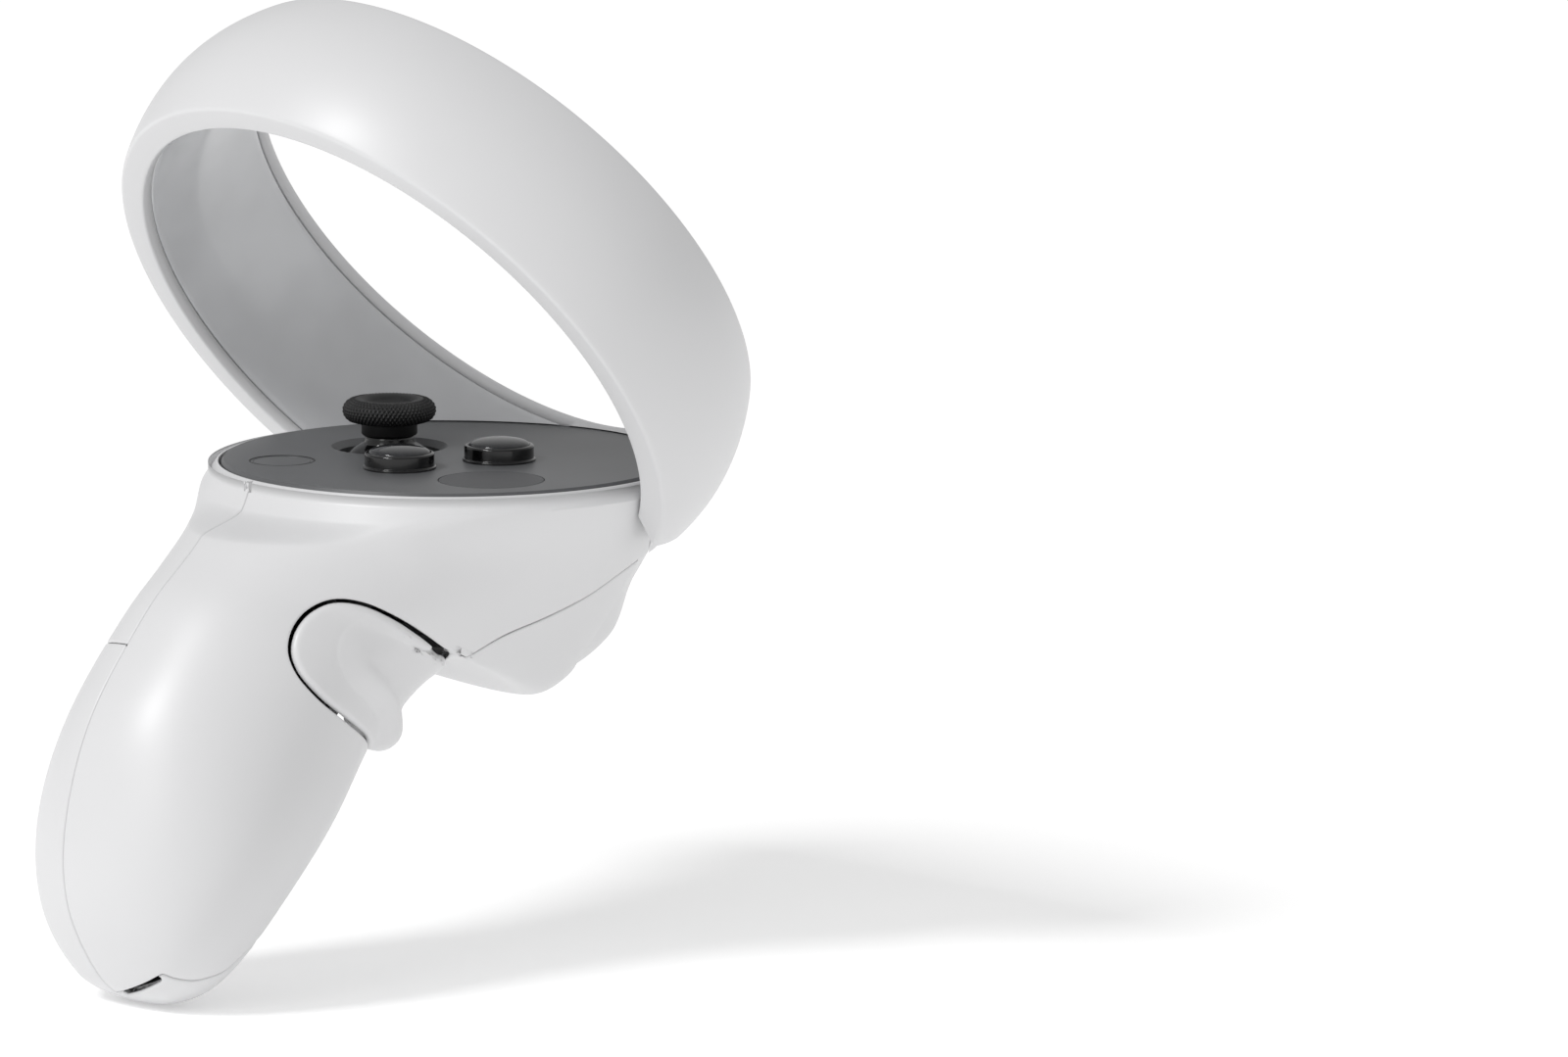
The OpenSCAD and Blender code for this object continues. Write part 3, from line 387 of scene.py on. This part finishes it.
# ---------- body form ----------
body = {
    # rear x, rear z, front x, front z, place of the widest point between them, half width
    "rows": np.array([
        [-31.5, -0.5, 31.5, -0.5, 0.50, 31.5],
        [-34.5, -3.0, 28.5, -8.5, 0.51, 28.0],
        [-38.5, -5.0, 25.0, -19.0, 0.49, 23.0],
        [-42.5, -8.0, 11.5, -31.5, 0.36, 18.5],
        [-47.5, -12.0, -3.0, -25.0, 0.44, 17.0],
        [-52.5, -17.5, -17.5, -31.0, 0.48, 17.0],
        [-59.0, -26.5, -26.5, -41.5, 0.51, 18.0],
        [-63.0, -38.0, -36.5, -52.0, 0.50, 17.5],
        [-63.5, -49.5, -46.5, -61.5, 0.52, 13.0],
        [-58.5, -59.5, -54.5, -62.5, 0.51, 6.0]]),
    "tipStart": 8.75, "tipRise": 0.9,
    "pocket": 29.35, "rimEdge": 29.6, "rimTop": -0.3, "rimSlope": 0.8,
    "alongSteps": 330, "aroundSteps": 288, "tipSteps": 26,
    "wall": 1.3, "seam": 0.09, "edge": 0.28,
}


def bendOf(rows):
    # Second derivatives of the cubic that passes through the rows and bends as evenly as it can
    count = len(rows)
    system = np.eye(count)
    inner = np.arange(1, count - 1)
    system[inner, inner - 1] = 1
    system[inner, inner] = 4
    system[inner, inner + 1] = 1
    right = np.zeros_like(rows)
    right[1:-1] = 6 * (rows[2:] - 2 * rows[1:-1] + rows[:-2])
    return np.linalg.solve(system, right)


bodyBend = bendOf(body["rows"])


def bodyAt(s, angle):
    # Point of the body at row s and angle round it: angle 0 is the front outline, pi the rear one
    rows, bend = body["rows"], bodyBend
    i = np.clip(s.astype(int), 0, len(rows) - 2)
    t = (s - i)[..., None]
    q = (rows[i] * (1 - t) + rows[i + 1] * t
         + ((1 - t) ** 3 - (1 - t)) * bend[i] / 6 + (t**3 - t) * bend[i + 1] / 6)
    rear, front = q[..., 0:2], q[..., 2:4]
    middle = rear + q[..., 4:5] * (front - rear)
    c = np.cos(angle)[..., None]
    flat = middle + np.where(c > 0, c * (front - middle), -c * (rear - middle))
    return np.stack([flat[..., 0], q[..., 5] * np.sin(angle), flat[..., 1]], -1)


def bodyGrid():
    # Rows down the body, a smooth cap on its end, and the rim that slopes down from the face
    around = np.arange(body["aroundSteps"]) * 2 * pi / body["aroundSteps"]
    s, angle = np.meshgrid(np.linspace(0, body["tipStart"], body["alongSteps"]), around, indexing="ij")
    grid = bodyAt(s, angle)
    # The rim is a cone under the face's edge; the body stays inside it, with a soft crease
    radius = np.hypot(grid[..., 0], grid[..., 1])
    cone = body["rimEdge"] + np.maximum(body["rimTop"] - grid[..., 2], 0) * body["rimSlope"]
    soft = 0.35
    less = 0.5 * (radius + cone - np.sqrt((radius - cone) ** 2 + soft**2))
    share = smoothStep((grid[..., 2] + 6.0) / 2.5)
    factor = 1 + share * (less / np.maximum(radius, 1e-6) - 1)
    grid[..., 0] *= factor
    grid[..., 1] *= factor
    # Cap: from the last row a curve that keeps its direction and lies flat at the pole
    last = grid[-1]
    direction = last - grid[-2]
    middle = last.mean(0)
    normal = np.array([-0.6, 0, -0.8])
    pole = middle + normal * (((last - middle) @ normal).max() + body["tipRise"])
    reach = ((pole - last) @ normal) / np.maximum(direction @ normal, 1e-6)
    knee = last + direction * reach[:, None]
    t = (np.arange(1, body["tipSteps"] + 1) / body["tipSteps"])[:, None, None]
    cap = (1 - t) ** 2 * last + 2 * t * (1 - t) * knee + t**2 * pole
    # Rim: from the pocket's wall, over a small round, to the cone
    top = grid[0]
    across = top[:, :2] / np.linalg.norm(top[:, :2], axis=1, keepdims=True)
    edge = body["rimEdge"]
    profile = softProfile([[body["pocket"], -2.3], [body["pocket"], body["rimTop"]], [edge, body["rimTop"]],
                           [np.linalg.norm(top[0, :2]), top[0, 2]]], [0.1, 0.1])[:-1]
    rim = np.concatenate([
        profile[:, 0][:, None, None] * across[None],
        np.repeat(profile[:, 1][:, None, None], len(top), 1)], -1)
    points = np.concatenate([rim, grid, cap]).reshape(-1, 3)
    triangles = gridTriangles(len(rim) + len(grid) + len(cap), body["aroundSteps"])
    return compact(points, triangles)


bodyPoints, bodyTriangles = bodyGrid()
outwards = np.einsum("ij,ij->i", normalsOf(bodyPoints, bodyTriangles), bodyPoints - np.array([-20, 0, -20]))
if np.median(outwards) < 0:
    bodyTriangles = bodyTriangles[:, ::-1]
print("body form", len(bodyTriangles))

# Seams of the shells. Flat lines are [x, z] seen from the side, or [y, z] seen from behind.
seams = {
    "length": openCurve([[5.9, 14], [5.6, 6], [5.2, -0.5], [4.5, -3], [3.2, -8], [3, -14], [3, -27], [3, -40],
                         [2.2, -50], [1.2, -66], [0.6, -80]]),
    "nose": np.array([[-14, -26], [-14, -70], [70, -70], [70, -10.5], [45, -10.5],
                      *openCurve([[24, -10.5], [14, -11.8], [9.5, -13.4], [4, -16], [-2.5, -18], [-8, -19.4],
                                  [-11.3, -20.9], [-14, -22.8]])]),
    "cover": openCurve([[-95, -1], [-80, -8], [-44, -21], [-20, -30], [0, -38]]),
    # along the seam of the cap x is measured a quarter turn round from the strap's slot
    "cap": openCurve([[-60, -71], [-45, -63.4], [-40.4, -61], [-38.6, -59.9], [-36.7, -58.6], [-35.2, -57.5],
                      [-34.7, -57.4], [-33.7, -57.8], [-32.5, -58.1], [-31, -58.3], [-29.3, -58.1], [-27.4, -57.6],
                      [-25.9, -56.55], [-22, -53.5], [-10, -46]]),
    "grip": closedCurve([[-34.5, -12.2], [-37.7, -13.3], [-40.2, -15.4], [-41.5, -18], [-41.2, -20.6],
                         [-39.6, -23], [-37, -25.4], [-32, -28.7], [-26, -32.2], [-18, -38.5], [-10, -40],
                         [-7, -32], [-9, -25.5], [-12.8, -22.3], [-17, -20.6], [-21.5, -18], [-27, -14.8],
                         [-31, -12.8]]),
    "finger": openCurve([[-23, -11], [-29, -13.7], [-31.6, -15.1], [-33.6, -16.1], [-34.8, -17.7], [-35, -20],
                         [-33.5, -22.9], [-30.4, -25.5], [-27.6, -27.6], [-25.5, -30], [-24.5, -33], [-24, -38]]),
}
ring = {
    "centre": np.array([-10.5, 0, 14.8]), "tilt": radians(38),
    "width": 22, "near": 38, "far": 35, "outer": 43.2, "lip": 1.5, "seam": 0.12,
    "backWall": 1.9, "sides": 360, "cheekSeam": 3.6,
}
strapSlit = {"from": np.array([-39.7, -60.95]), "to": np.array([-35.5, -58.1]), "radius": 0.42}
ringAxis = np.array([cos(ring["tilt"]), 0, sin(ring["tilt"])])
ringDown = np.array([sin(ring["tilt"]), 0, -cos(ring["tilt"])])


def ringDepth(points):
    return (points - ring["centre"]) @ ringAxis


def sideways(points, line, closed=False):
    return sideOf(points[:, [0, 2]], seams[line], closed)


def gripSide(p):
    return sideOf(p[:, [1, 2]], seams["length"]) * -1 - body["seam"] / 2


def palmSide(p):
    return sideOf(p[:, [1, 2]], seams["length"]) - body["seam"] / 2


def behindRing(p):
    return ring["cheekSeam"] - ringDepth(p) - body["seam"]


def aboveNose(p):
    return -sideways(p, "nose", True) - body["seam"]


def underNose(p):
    return sideways(p, "nose", True)


def outsideGrip(p):
    # The opening is on the finger side only
    return np.maximum(-sideways(p, "grip", True), p[:, 1] - 2.6)


def capPlane(p):
    # The upright plane that the cap's seam is drawn on
    return np.stack([0.713 * p[:, 0] - 0.701 * p[:, 1], p[:, 2]], 1)


def aboveCap(p):
    return sideOf(capPlane(p), seams["cap"]) - body["seam"]


def belowCap(p):
    return -sideOf(capPlane(p), seams["cap"])


def aboveCover(p):
    return sideways(p, "cover") - body["seam"]


def coverField(p):
    lowerPalm = np.minimum(-sideways(p, "cover"), palmSide(p))
    return np.maximum(lowerPalm, belowCap(p))


def outsideSlot(p):
    # The wrist strap's slit just under the cap's seam: a lens round a short line, on the rear side
    start, end = strapSlit["from"], strapSlit["to"]
    run = (end - start) / np.linalg.norm(end - start)
    along = (capPlane(p) - start) @ run
    reach = np.clip(along, 0, np.linalg.norm(end - start))
    gap = np.linalg.norm(capPlane(p) - start - reach[:, None] * run, axis=1)
    return np.maximum(gap - strapSlit["radius"], p[:, 0] + 54)


print("seams")


# ---------- shells ----------
def shell(name, fields, bodyName, wall=None, edge=None):
    points, triangles = carve(bodyPoints, bodyTriangles, fields, body["edge"] if edge is None else edge)
    piece = placePiece(name, points, triangles, whiteAbs, bodyName, [name.replace("Shape", "")],
                       wall or body["wall"])
    print(name, len(triangles))
    return piece


shell("grip_shellShape", [gripSide, behindRing, aboveNose, outsideGrip, aboveCap, outsideSlot], "body")
shell("palm_shellShape", [palmSide, behindRing, aboveNose, aboveCover], "body")
shell("battery_coverShape", [coverField, outsideSlot], "battery_cover")

trigger = {"gap": 0.3, "sink": 0.9, "edge": 0.7, "scoopAt": [47, -18.5], "scoopR": 23.5, "hook": 3.2}
crease = openCurve([[12.6, 0], [12.6, -12], [12.4, -18], [11.6, -23], [11.4, -26], [13.4, -29.5], [15.5, -36],
                    [17, -50]])


def creaseSide(p):
    # Positive in front of the line where the trigger leaves its housing
    return sideOf(p[:, [0, 2]], crease)


shell("trigger_housingShape", [
    lambda p: underNose(p) - body["seam"] / 2,
    lambda p: -creaseSide(p) - 0.02,
    outsideGrip], "body", wall=1.0, edge=0.22)

# Trigger: the same form set back a little, with a hollow for the finger
nosePoints, noseTriangles = carve(bodyPoints, bodyTriangles, [
    lambda p: underNose(p) - trigger["gap"], lambda p: creaseSide(p) - trigger["gap"],
    lambda p: p[:, 0] - 5], edge=0)
scoop = np.array(trigger["scoopAt"])
away = nosePoints[:, [0, 2]] - scoop
reach = np.linalg.norm(away, axis=1)
into = np.maximum(trigger["scoopR"] - reach, 0)
nosePoints[:, [0, 2]] += away / reach[:, None] * (0.5 * (into + np.sqrt(into**2 + 0.02)) - 0.07)[:, None]
hooked = smoothStep((-16 - nosePoints[:, 2]) / 9) * smoothStep((nosePoints[:, 0] - 12) / 5)
nosePoints[:, 0] += trigger["hook"] * hooked
nosePoints = nosePoints - normalsOf(nosePoints, noseTriangles) * trigger["sink"]
edgeNear = np.minimum(underNose(nosePoints) - trigger["gap"], creaseSide(nosePoints) - trigger["gap"])
dip = trigger["edge"] - np.clip(edgeNear, 0, trigger["edge"])
nosePoints = nosePoints - normalsOf(nosePoints, noseTriangles) * (
    trigger["edge"] - np.sqrt(trigger["edge"] ** 2 - dip**2))[:, None]
placePiece("triggerShape", nosePoints, noseTriangles, whiteAbs, "trigger", ["trigger"], 1.0)
print("trigger", len(noseTriangles))

# Grip button: a cheek that follows the handle and a finger face that stands out towards its lower end
gripButton = {"gap": 0.45, "edge": 0.8, "proud": 0.3, "lip": 5.4, "lipRun": 9, "faceStep": 0.6, "wall": 0.5,
              "lipWay": np.array([0.85, -0.5, 0.12]),
              "lipFrom": [-34, -26.6], "lipTo": [-18, -38.5]}
gripPoints, gripTriangles = carve(bodyPoints, bodyTriangles, [
    lambda p: sideways(p, "grip", True) - gripButton["gap"],
    lambda p: 2.2 - p[:, 1]], edge=0)
for share in (0.06, 0.25, 0.55, 1.0):
    gripPoints, inner, outer = cutMesh(gripPoints, gripTriangles,
                                       sideways(gripPoints, "grip", True) - gripButton["gap"]
                                       - share * gripButton["edge"])
    gripTriangles = np.vstack([inner, outer])
for shift in (-0.25, 0.0, 0.25):
    gripPoints, inner, outer = cutMesh(gripPoints, gripTriangles, sideways(gripPoints, "finger") + shift)
    gripTriangles = np.vstack([inner, outer])
gripPoints, gripTriangles = compact(gripPoints, gripTriangles)
insideFace = sideways(gripPoints, "finger")
rimNear = sideways(gripPoints, "grip", True) - gripButton["gap"]
dip = gripButton["edge"] - np.clip(rimNear, 0, gripButton["edge"])
rounded = gripButton["edge"] - np.sqrt(gripButton["edge"] ** 2 - dip**2)
onFace = smoothStep((insideFace + 0.35) / 0.7)
lowerLine = np.array([gripButton["lipFrom"], gripButton["lipTo"]])
lowerEnd = smoothStep(1 - sideOf(gripPoints[:, [0, 2]], lowerLine) / gripButton["lipRun"])
raised = gripButton["proud"] - rounded + gripButton["faceStep"] * onFace * smoothStep(insideFace / 8 + 0.2)
lipOut = gripButton["lip"] * lowerEnd**1.4 * smoothStep(insideFace / 3.5)
gripPoints = (gripPoints + normalsOf(gripPoints, gripTriangles) * raised[:, None]
              + lipOut[:, None] * gripButton["lipWay"])
placePiece("gripButtonShape", gripPoints, gripTriangles, whiteAbs, "grip_button", ["grip_button"],
           gripButton["wall"])
print("grip button", len(gripTriangles))


# ---------- ring ----------
def outerRadius(w):
    # The barrel is fullest just behind the middle and falls away to both rims
    u = w / ring["width"]
    return ring["outer"] - np.where(u < 0.44, 1.8 * ((0.44 - u) / 0.44) ** 2, 3.4 * ((u - 0.44) / 0.56) ** 2)


def boreRadius(w):
    return ring["near"] + (ring["far"] - ring["near"]) * w / ring["width"]


def ringTurn(profile, sides):
    # Turns a closed [radius, depth] profile round the ring's axis
    angle = np.arange(sides) * 2 * pi / sides
    spoke = np.cos(angle)[:, None] * ringDown + np.sin(angle)[:, None] * np.array([0, 1, 0])
    points = ring["centre"] + profile[:, 0, None, None] * spoke + profile[:, 1, None, None] * ringAxis
    return points.reshape(-1, 3), gridTriangles(len(profile), sides)


def faceOutwards(points, triangles, centreRadius):
    # Turns the triangles so that they point away from the middle of the ring's wall
    local = points - ring["centre"]
    depth = local @ ringAxis
    flat = local - depth[:, None] * ringAxis
    radius = np.linalg.norm(flat, axis=1)
    core = ring["centre"] + flat / radius[:, None] * centreRadius + ringAxis * ring["width"] / 2
    lean = ((points - core) * normalsOf(points, triangles)).sum(1)
    return triangles if np.median(lean) > 0 else triangles[:, ::-1]


def ringShellProfile():
    width, lip = ring["width"], ring["lip"]
    w = np.linspace(0.9, width - 0.9, 60)
    barrel = np.stack([outerRadius(w), w], 1)
    farRound = softProfile([barrel[-1], [outerRadius(width) - 0.02, width], [boreRadius(width), width],
                            [boreRadius(width - lip), width - lip]], [0.9, 0.35], 7)
    hiddenFar = np.array([[boreRadius(width - lip) + ring["backWall"], width - lip]])
    back = np.linspace(width - 3, 3, 12)
    hidden = np.stack([outerRadius(back) - 1.6, back], 1)
    hiddenNear = np.array([[boreRadius(lip) + ring["backWall"], lip]])
    nearRound = softProfile([[boreRadius(lip), lip], [boreRadius(0), 0], [outerRadius(0) - 0.02, 0], barrel[0]],
                            [0.35, 0.9], 7)
    return np.vstack([barrel, farRound[1:], hiddenFar, hidden, hiddenNear, nearRound, barrel[:1]])


def clearOfFace(p):
    # Nothing of the ring stands over the control face
    radius = np.hypot(p[:, 0], p[:, 1])
    return np.maximum(radius - body["pocket"], p[:, 2] - 0.15)


ringPoints, ringTriangles = ringTurn(ringShellProfile(), ring["sides"])
ringTriangles = faceOutwards(ringPoints, ringTriangles, 39.5)
ringPoints, ringTriangles = carve(ringPoints, ringTriangles, [aboveNose, clearOfFace], edge=0)
# The rim and cheeks round the front of the control face belong to the ring's shell
frontPoints, frontTriangles = carve(bodyPoints, bodyTriangles, [
    lambda p: ringDepth(p) - ring["cheekSeam"], aboveNose], edge=0)
allPoints = np.vstack([ringPoints, frontPoints])
allTriangles = np.vstack([ringTriangles, frontTriangles + len(ringPoints)])
placePiece("ringOuterShape", allPoints, allTriangles, whiteAbs, "body", ["ring_outer_shell"])

liner = {"edge": 1.72, "back": 1.5}
lw = np.linspace(liner["edge"] + 0.12, ring["width"] - liner["edge"] - 0.12, 24)
inner = np.stack([boreRadius(lw), lw], 1)
first = np.array([[boreRadius(liner["edge"]) + 0.12, liner["edge"]]])
final = np.array([[boreRadius(ring["width"] - liner["edge"]) + 0.12, ring["width"] - liner["edge"]]])
outerLine = np.stack([boreRadius(lw[::-1]) + liner["back"], lw[::-1]], 1)
linerProfile = np.vstack([first, inner, final, outerLine, first])
linerPoints, linerTriangles = ringTurn(linerProfile, ring["sides"])
linerTriangles = faceOutwards(linerPoints, linerTriangles, 37.3)
linerPoints, linerTriangles = carve(linerPoints, linerTriangles, [clearOfFace, aboveNose], edge=0)
placePiece("ringLinerShape", linerPoints, linerTriangles, ringLinerPlastic, "body", ["ring_inner_liner"])
print("ring", len(allTriangles), len(linerTriangles))

# ---------- controls ----------
controls = {
    "stick": [0.25, 11.7], "upper": [2.4, -6.2], "lower": [-10.7, -1.9], "menu": [-17.3, 12.7],
    "rest": [-8.9, -16.7], "pivot": 6.4, "sides": 160,
}


def putLathe(name, profile, at, material, bodyName, nodes, sides=None, lift=0):
    points, triangles = lathe(profile, sides or controls["sides"])
    points, triangles = compact(points, triangles)
    centre = np.array([0, 0, profile[:, 1].mean()])
    if np.median(((points - centre) * normalsOf(points, triangles)).sum(1)) < 0:
        triangles = triangles[:, ::-1]
    points = points + np.array([at[0], at[1], lift])
    return placePiece(name, points, triangles, material, bodyName, nodes)


button = {"radius": 4.4, "up": 2.0, "flange": 4.62, "lens": 3.85, "rise": 0.95}
buttonProfile = softProfile([[0.0, button["up"] - 0.5], [button["lens"] + 0.05, button["up"] - 0.5],
                             [button["lens"] + 0.05, button["up"] + 0.05], [button["radius"], button["up"] - 0.02],
                             [button["radius"], 0.35], [button["flange"], 0.3], [button["flange"], -2.2],
                             [5.3, -2.3], [5.3, -2.9], [0.0, -2.9]],
                            [0.05, 0.12, 0.3, 0.1, 0.12, 0.1, 0.1, 0.1])
t = np.linspace(0, 1, 24)
domeHigh = button["up"] - 0.05 + button["rise"] * np.cos(t * pi / 2) ** 0.9
dome = np.stack([button["lens"] * np.sin(t * pi / 2), domeHigh], 1)
lensProfile = np.vstack([dome, [[button["lens"], button["up"] - 0.48], [0, button["up"] - 0.48]]])
for which in ("upper", "lower"):
    putLathe(which + "ButtonShape", buttonProfile, controls[which], glossBlack, which + "_button",
             [which + "_button"])
    putLathe(which + "LensShape", lensProfile, controls[which], clearDome, which + "_button",
             [which + "_button_lens"])

menuProfile = softProfile([[0.0, -0.12], [3.55, -0.06], [3.62, -0.2], [3.7, -0.06], [4.0, -0.05], [4.0, -2.6],
                           [0.0, -2.6]], [0.3, 0.03, 0.03, 0.1, 0.1])
putLathe("menuButtonShape", menuProfile, controls["menu"], menuPlastic, "menu_button", ["menu_button"])
# A thin dark ring laid just above the plate round the menu button: painted shade in place of the shadow down the
# gap round the button
grooveShadeProfile = np.array([[4.0, 0.014], [4.2, 0.014], [4.2, -0.3], [4.0, -0.3], [4.0, 0.014]])
putLathe("menuGrooveShadeShape", grooveShadeProfile, controls["menu"], grooveShadePaint, "body", [])
restProfile = softProfile([[0.0, 0.02], [6.6, 0.02], [6.6, -0.85], [0.0, -0.85]], [0.12, 0.05])
putLathe("thumbRestShape", restProfile, controls["rest"], padPlastic, "body", ["thumb_rest"])

# Thumbstick cap: a doughnut rim round a shallow dish; two crossing families of ridges knurl the rim
stick = {"capR": 5.85, "capLow": 9.55, "capHigh": 12.5, "neck": 3.55, "knurls": 63, "knurlHeight": 0.24}
turn = np.linspace(-0.5 * pi, pi * 0.8, 72)
ringMiddle, halfHigh, halfWide = 4.15, 1.47, 1.7
high = (stick["capLow"] + stick["capHigh"]) / 2
rimLine = np.stack([ringMiddle + halfWide * np.cos(turn), high + halfHigh * np.sin(turn)], 1)
dishR = np.linspace(rimLine[-1, 0], 0, 14)[1:]
dishLine = np.stack([dishR, rimLine[-1, 1] - 0.75 * (1 - (dishR / rimLine[-1, 0]) ** 2)], 1)
underLine = np.array([[1.6, 7.9], [stick["neck"] - 0.15, 7.9], [stick["neck"], 8.1], [stick["neck"], 9.3],
                      [stick["neck"] + 0.1, 9.5]])
capProfile = np.vstack([underLine, rimLine, dishLine])
columns = 504
capPoints, capTriangles = lathe(capProfile, columns)
rowIndex = np.repeat(np.arange(len(capProfile)), columns)
angle = np.tile(np.arange(columns) * 2 * pi / columns, len(capProfile))
along = np.zeros(len(capProfile))
along[len(underLine):len(underLine) + len(rimLine)] = np.linspace(0, 1, len(rimLine))
onRim = np.zeros(len(capProfile))
rimShare = np.linspace(0, 1, len(rimLine))
rimRows = slice(len(underLine), len(underLine) + len(rimLine))
onRim[rimRows] = smoothStep(rimShare / 0.15) * smoothStep((0.78 - rimShare) / 0.1)
phase = 2 * pi * 7 * along[rowIndex]
ridge = (0.5 + 0.5 * np.cos(stick["knurls"] * angle + phase))
ridge = ridge * (0.5 + 0.5 * np.cos(stick["knurls"] * angle - phase))
capNormals = normalsOf(capPoints, capTriangles)
lean = np.median(((capPoints - np.array([0, 0, high])) * capNormals).sum(1))
if lean < 0:
    capTriangles, capNormals = capTriangles[:, ::-1], -capNormals
capPoints = capPoints + capNormals * (stick["knurlHeight"] * (ridge - 0.5) * onRim[rowIndex])[:, None]
capPoints, capTriangles = compact(capPoints + np.array([*controls["stick"], -controls["pivot"]]), capTriangles)
placePiece("stickCapShape", capPoints, capTriangles, softRubber, "stick", ["stick_cap"])

skirtR = 7.6
sweep = np.radians(np.linspace(64, 26, 40))
skirtOuter = np.stack([skirtR * np.sin(sweep), skirtR * np.cos(sweep)], 1)
skirtNeck = np.array([[3.3, 7.1], [3.2, 7.5], [3.2, 7.9], [1.6, 7.9]])
skirtInner = np.stack([(skirtR - 0.8) * np.sin(sweep[::-1]), (skirtR - 0.8) * np.cos(sweep[::-1])], 1)
skirtProfile = np.vstack([skirtOuter, skirtNeck, [[1.6, 6.9]], skirtInner, skirtOuter[:1]])
putLathe("stickSkirtShape", skirtProfile, controls["stick"], glossBlack, "stick", ["stick_skirt"],
         lift=-controls["pivot"])
print("controls done")

# ---------- stage ----------
stage = {"floorSize": 6.0, "floorColour": "#F8F8F8", "world": 0.56, "glow": 0.24,
         "sun": 1.25, "sunFrom": (-0.66, 0.12, 0.72)}
floorZ = float(cadBounds[0][2]) - 0.0004
floorMesh = bpy.data.meshes.new("floor")
half = stage["floorSize"]
floorMesh.from_pydata([(-half, -half, floorZ), (half, -half, floorZ), (half, half, floorZ), (-half, half, floorZ)],
                      [], [(0, 1, 2, 3)])
floor = bpy.data.objects.new("floor", floorMesh)
bpy.context.scene.collection.objects.link(floor)
floorPaint = bpy.data.materials.new("paperSweep")
floorPaint.use_nodes = True
floorPaint.node_tree.nodes["Principled BSDF"].inputs["Base Color"].default_value = linear(stage["floorColour"])
floorPaint.node_tree.nodes["Principled BSDF"].inputs["Roughness"].default_value = 0.9
floorPaint.node_tree.nodes["Principled BSDF"].inputs["Emission Color"].default_value = (1, 1, 1, 1)
floorPaint.node_tree.nodes["Principled BSDF"].inputs["Emission Strength"].default_value = stage["glow"]
floorMesh.materials.append(floorPaint)

world = bpy.data.worlds.new("studio")
bpy.context.scene.world = world
world.use_nodes = True
world.node_tree.nodes["Background"].inputs["Color"].default_value = (1, 1, 1, 1)
world.node_tree.nodes["Background"].inputs["Strength"].default_value = stage["world"]


def softBox(name, at, aim, size, power):
    light = bpy.data.lights.new(name, "AREA")
    light.shape, light.size, light.size_y, light.energy = "RECTANGLE", size[0], size[1], power
    lamp = bpy.data.objects.new(name, light)
    bpy.context.scene.collection.objects.link(lamp)
    lamp.location = Vector(at)
    lamp.rotation_euler = (Vector(aim) - Vector(at)).to_track_quat("-Z", "Y").to_euler()
    return lamp


middle = (0.0, 0.0, 0.06)
sun = bpy.data.lights.new("keySun", "SUN")
sun.energy, sun.angle = stage["sun"], radians(14)
sunLamp = bpy.data.objects.new("keySun", sun)
bpy.context.scene.collection.objects.link(sunLamp)
sunLamp.rotation_euler = Vector(stage["sunFrom"]).to_track_quat("Z", "Y").to_euler()
softBox("sideLight", (-0.55, -0.1, 0.35), middle, (0.2, 0.4), 0.45)

# ---------- camera ----------
camera = {"azimuth": 45.5, "elevation": 9.5, "distance": 1.938, "lens": 353.2,
          "right": -0.0419, "up": 0.00907}
theta, rise = radians(camera["azimuth"]), radians(camera["elevation"])
towards = np.array([-cos(theta) * cos(rise), -sin(theta) * cos(rise), sin(rise)])
rightWay = np.array([sin(theta), -cos(theta), 0])
upWay = np.array([cos(theta) * sin(rise), sin(theta) * sin(rise), cos(rise)])
eye = faceCentre + towards * camera["distance"] - rightWay * camera["right"] - upWay * camera["up"]
cameraData = bpy.data.cameras.new("camera")
cameraData.lens, cameraData.sensor_width = camera["lens"], 36
cameraData.clip_end = 50
viewer = bpy.data.objects.new("camera", cameraData)
bpy.context.scene.collection.objects.link(viewer)
turned = np.eye(4)
turned[:3, 0], turned[:3, 1], turned[:3, 2], turned[:3, 3] = rightWay, upWay, towards, eye
viewer.matrix_world = Matrix(turned.tolist())
bpy.context.scene.camera = viewer
bpy.context.scene.view_settings.view_transform = "Standard"
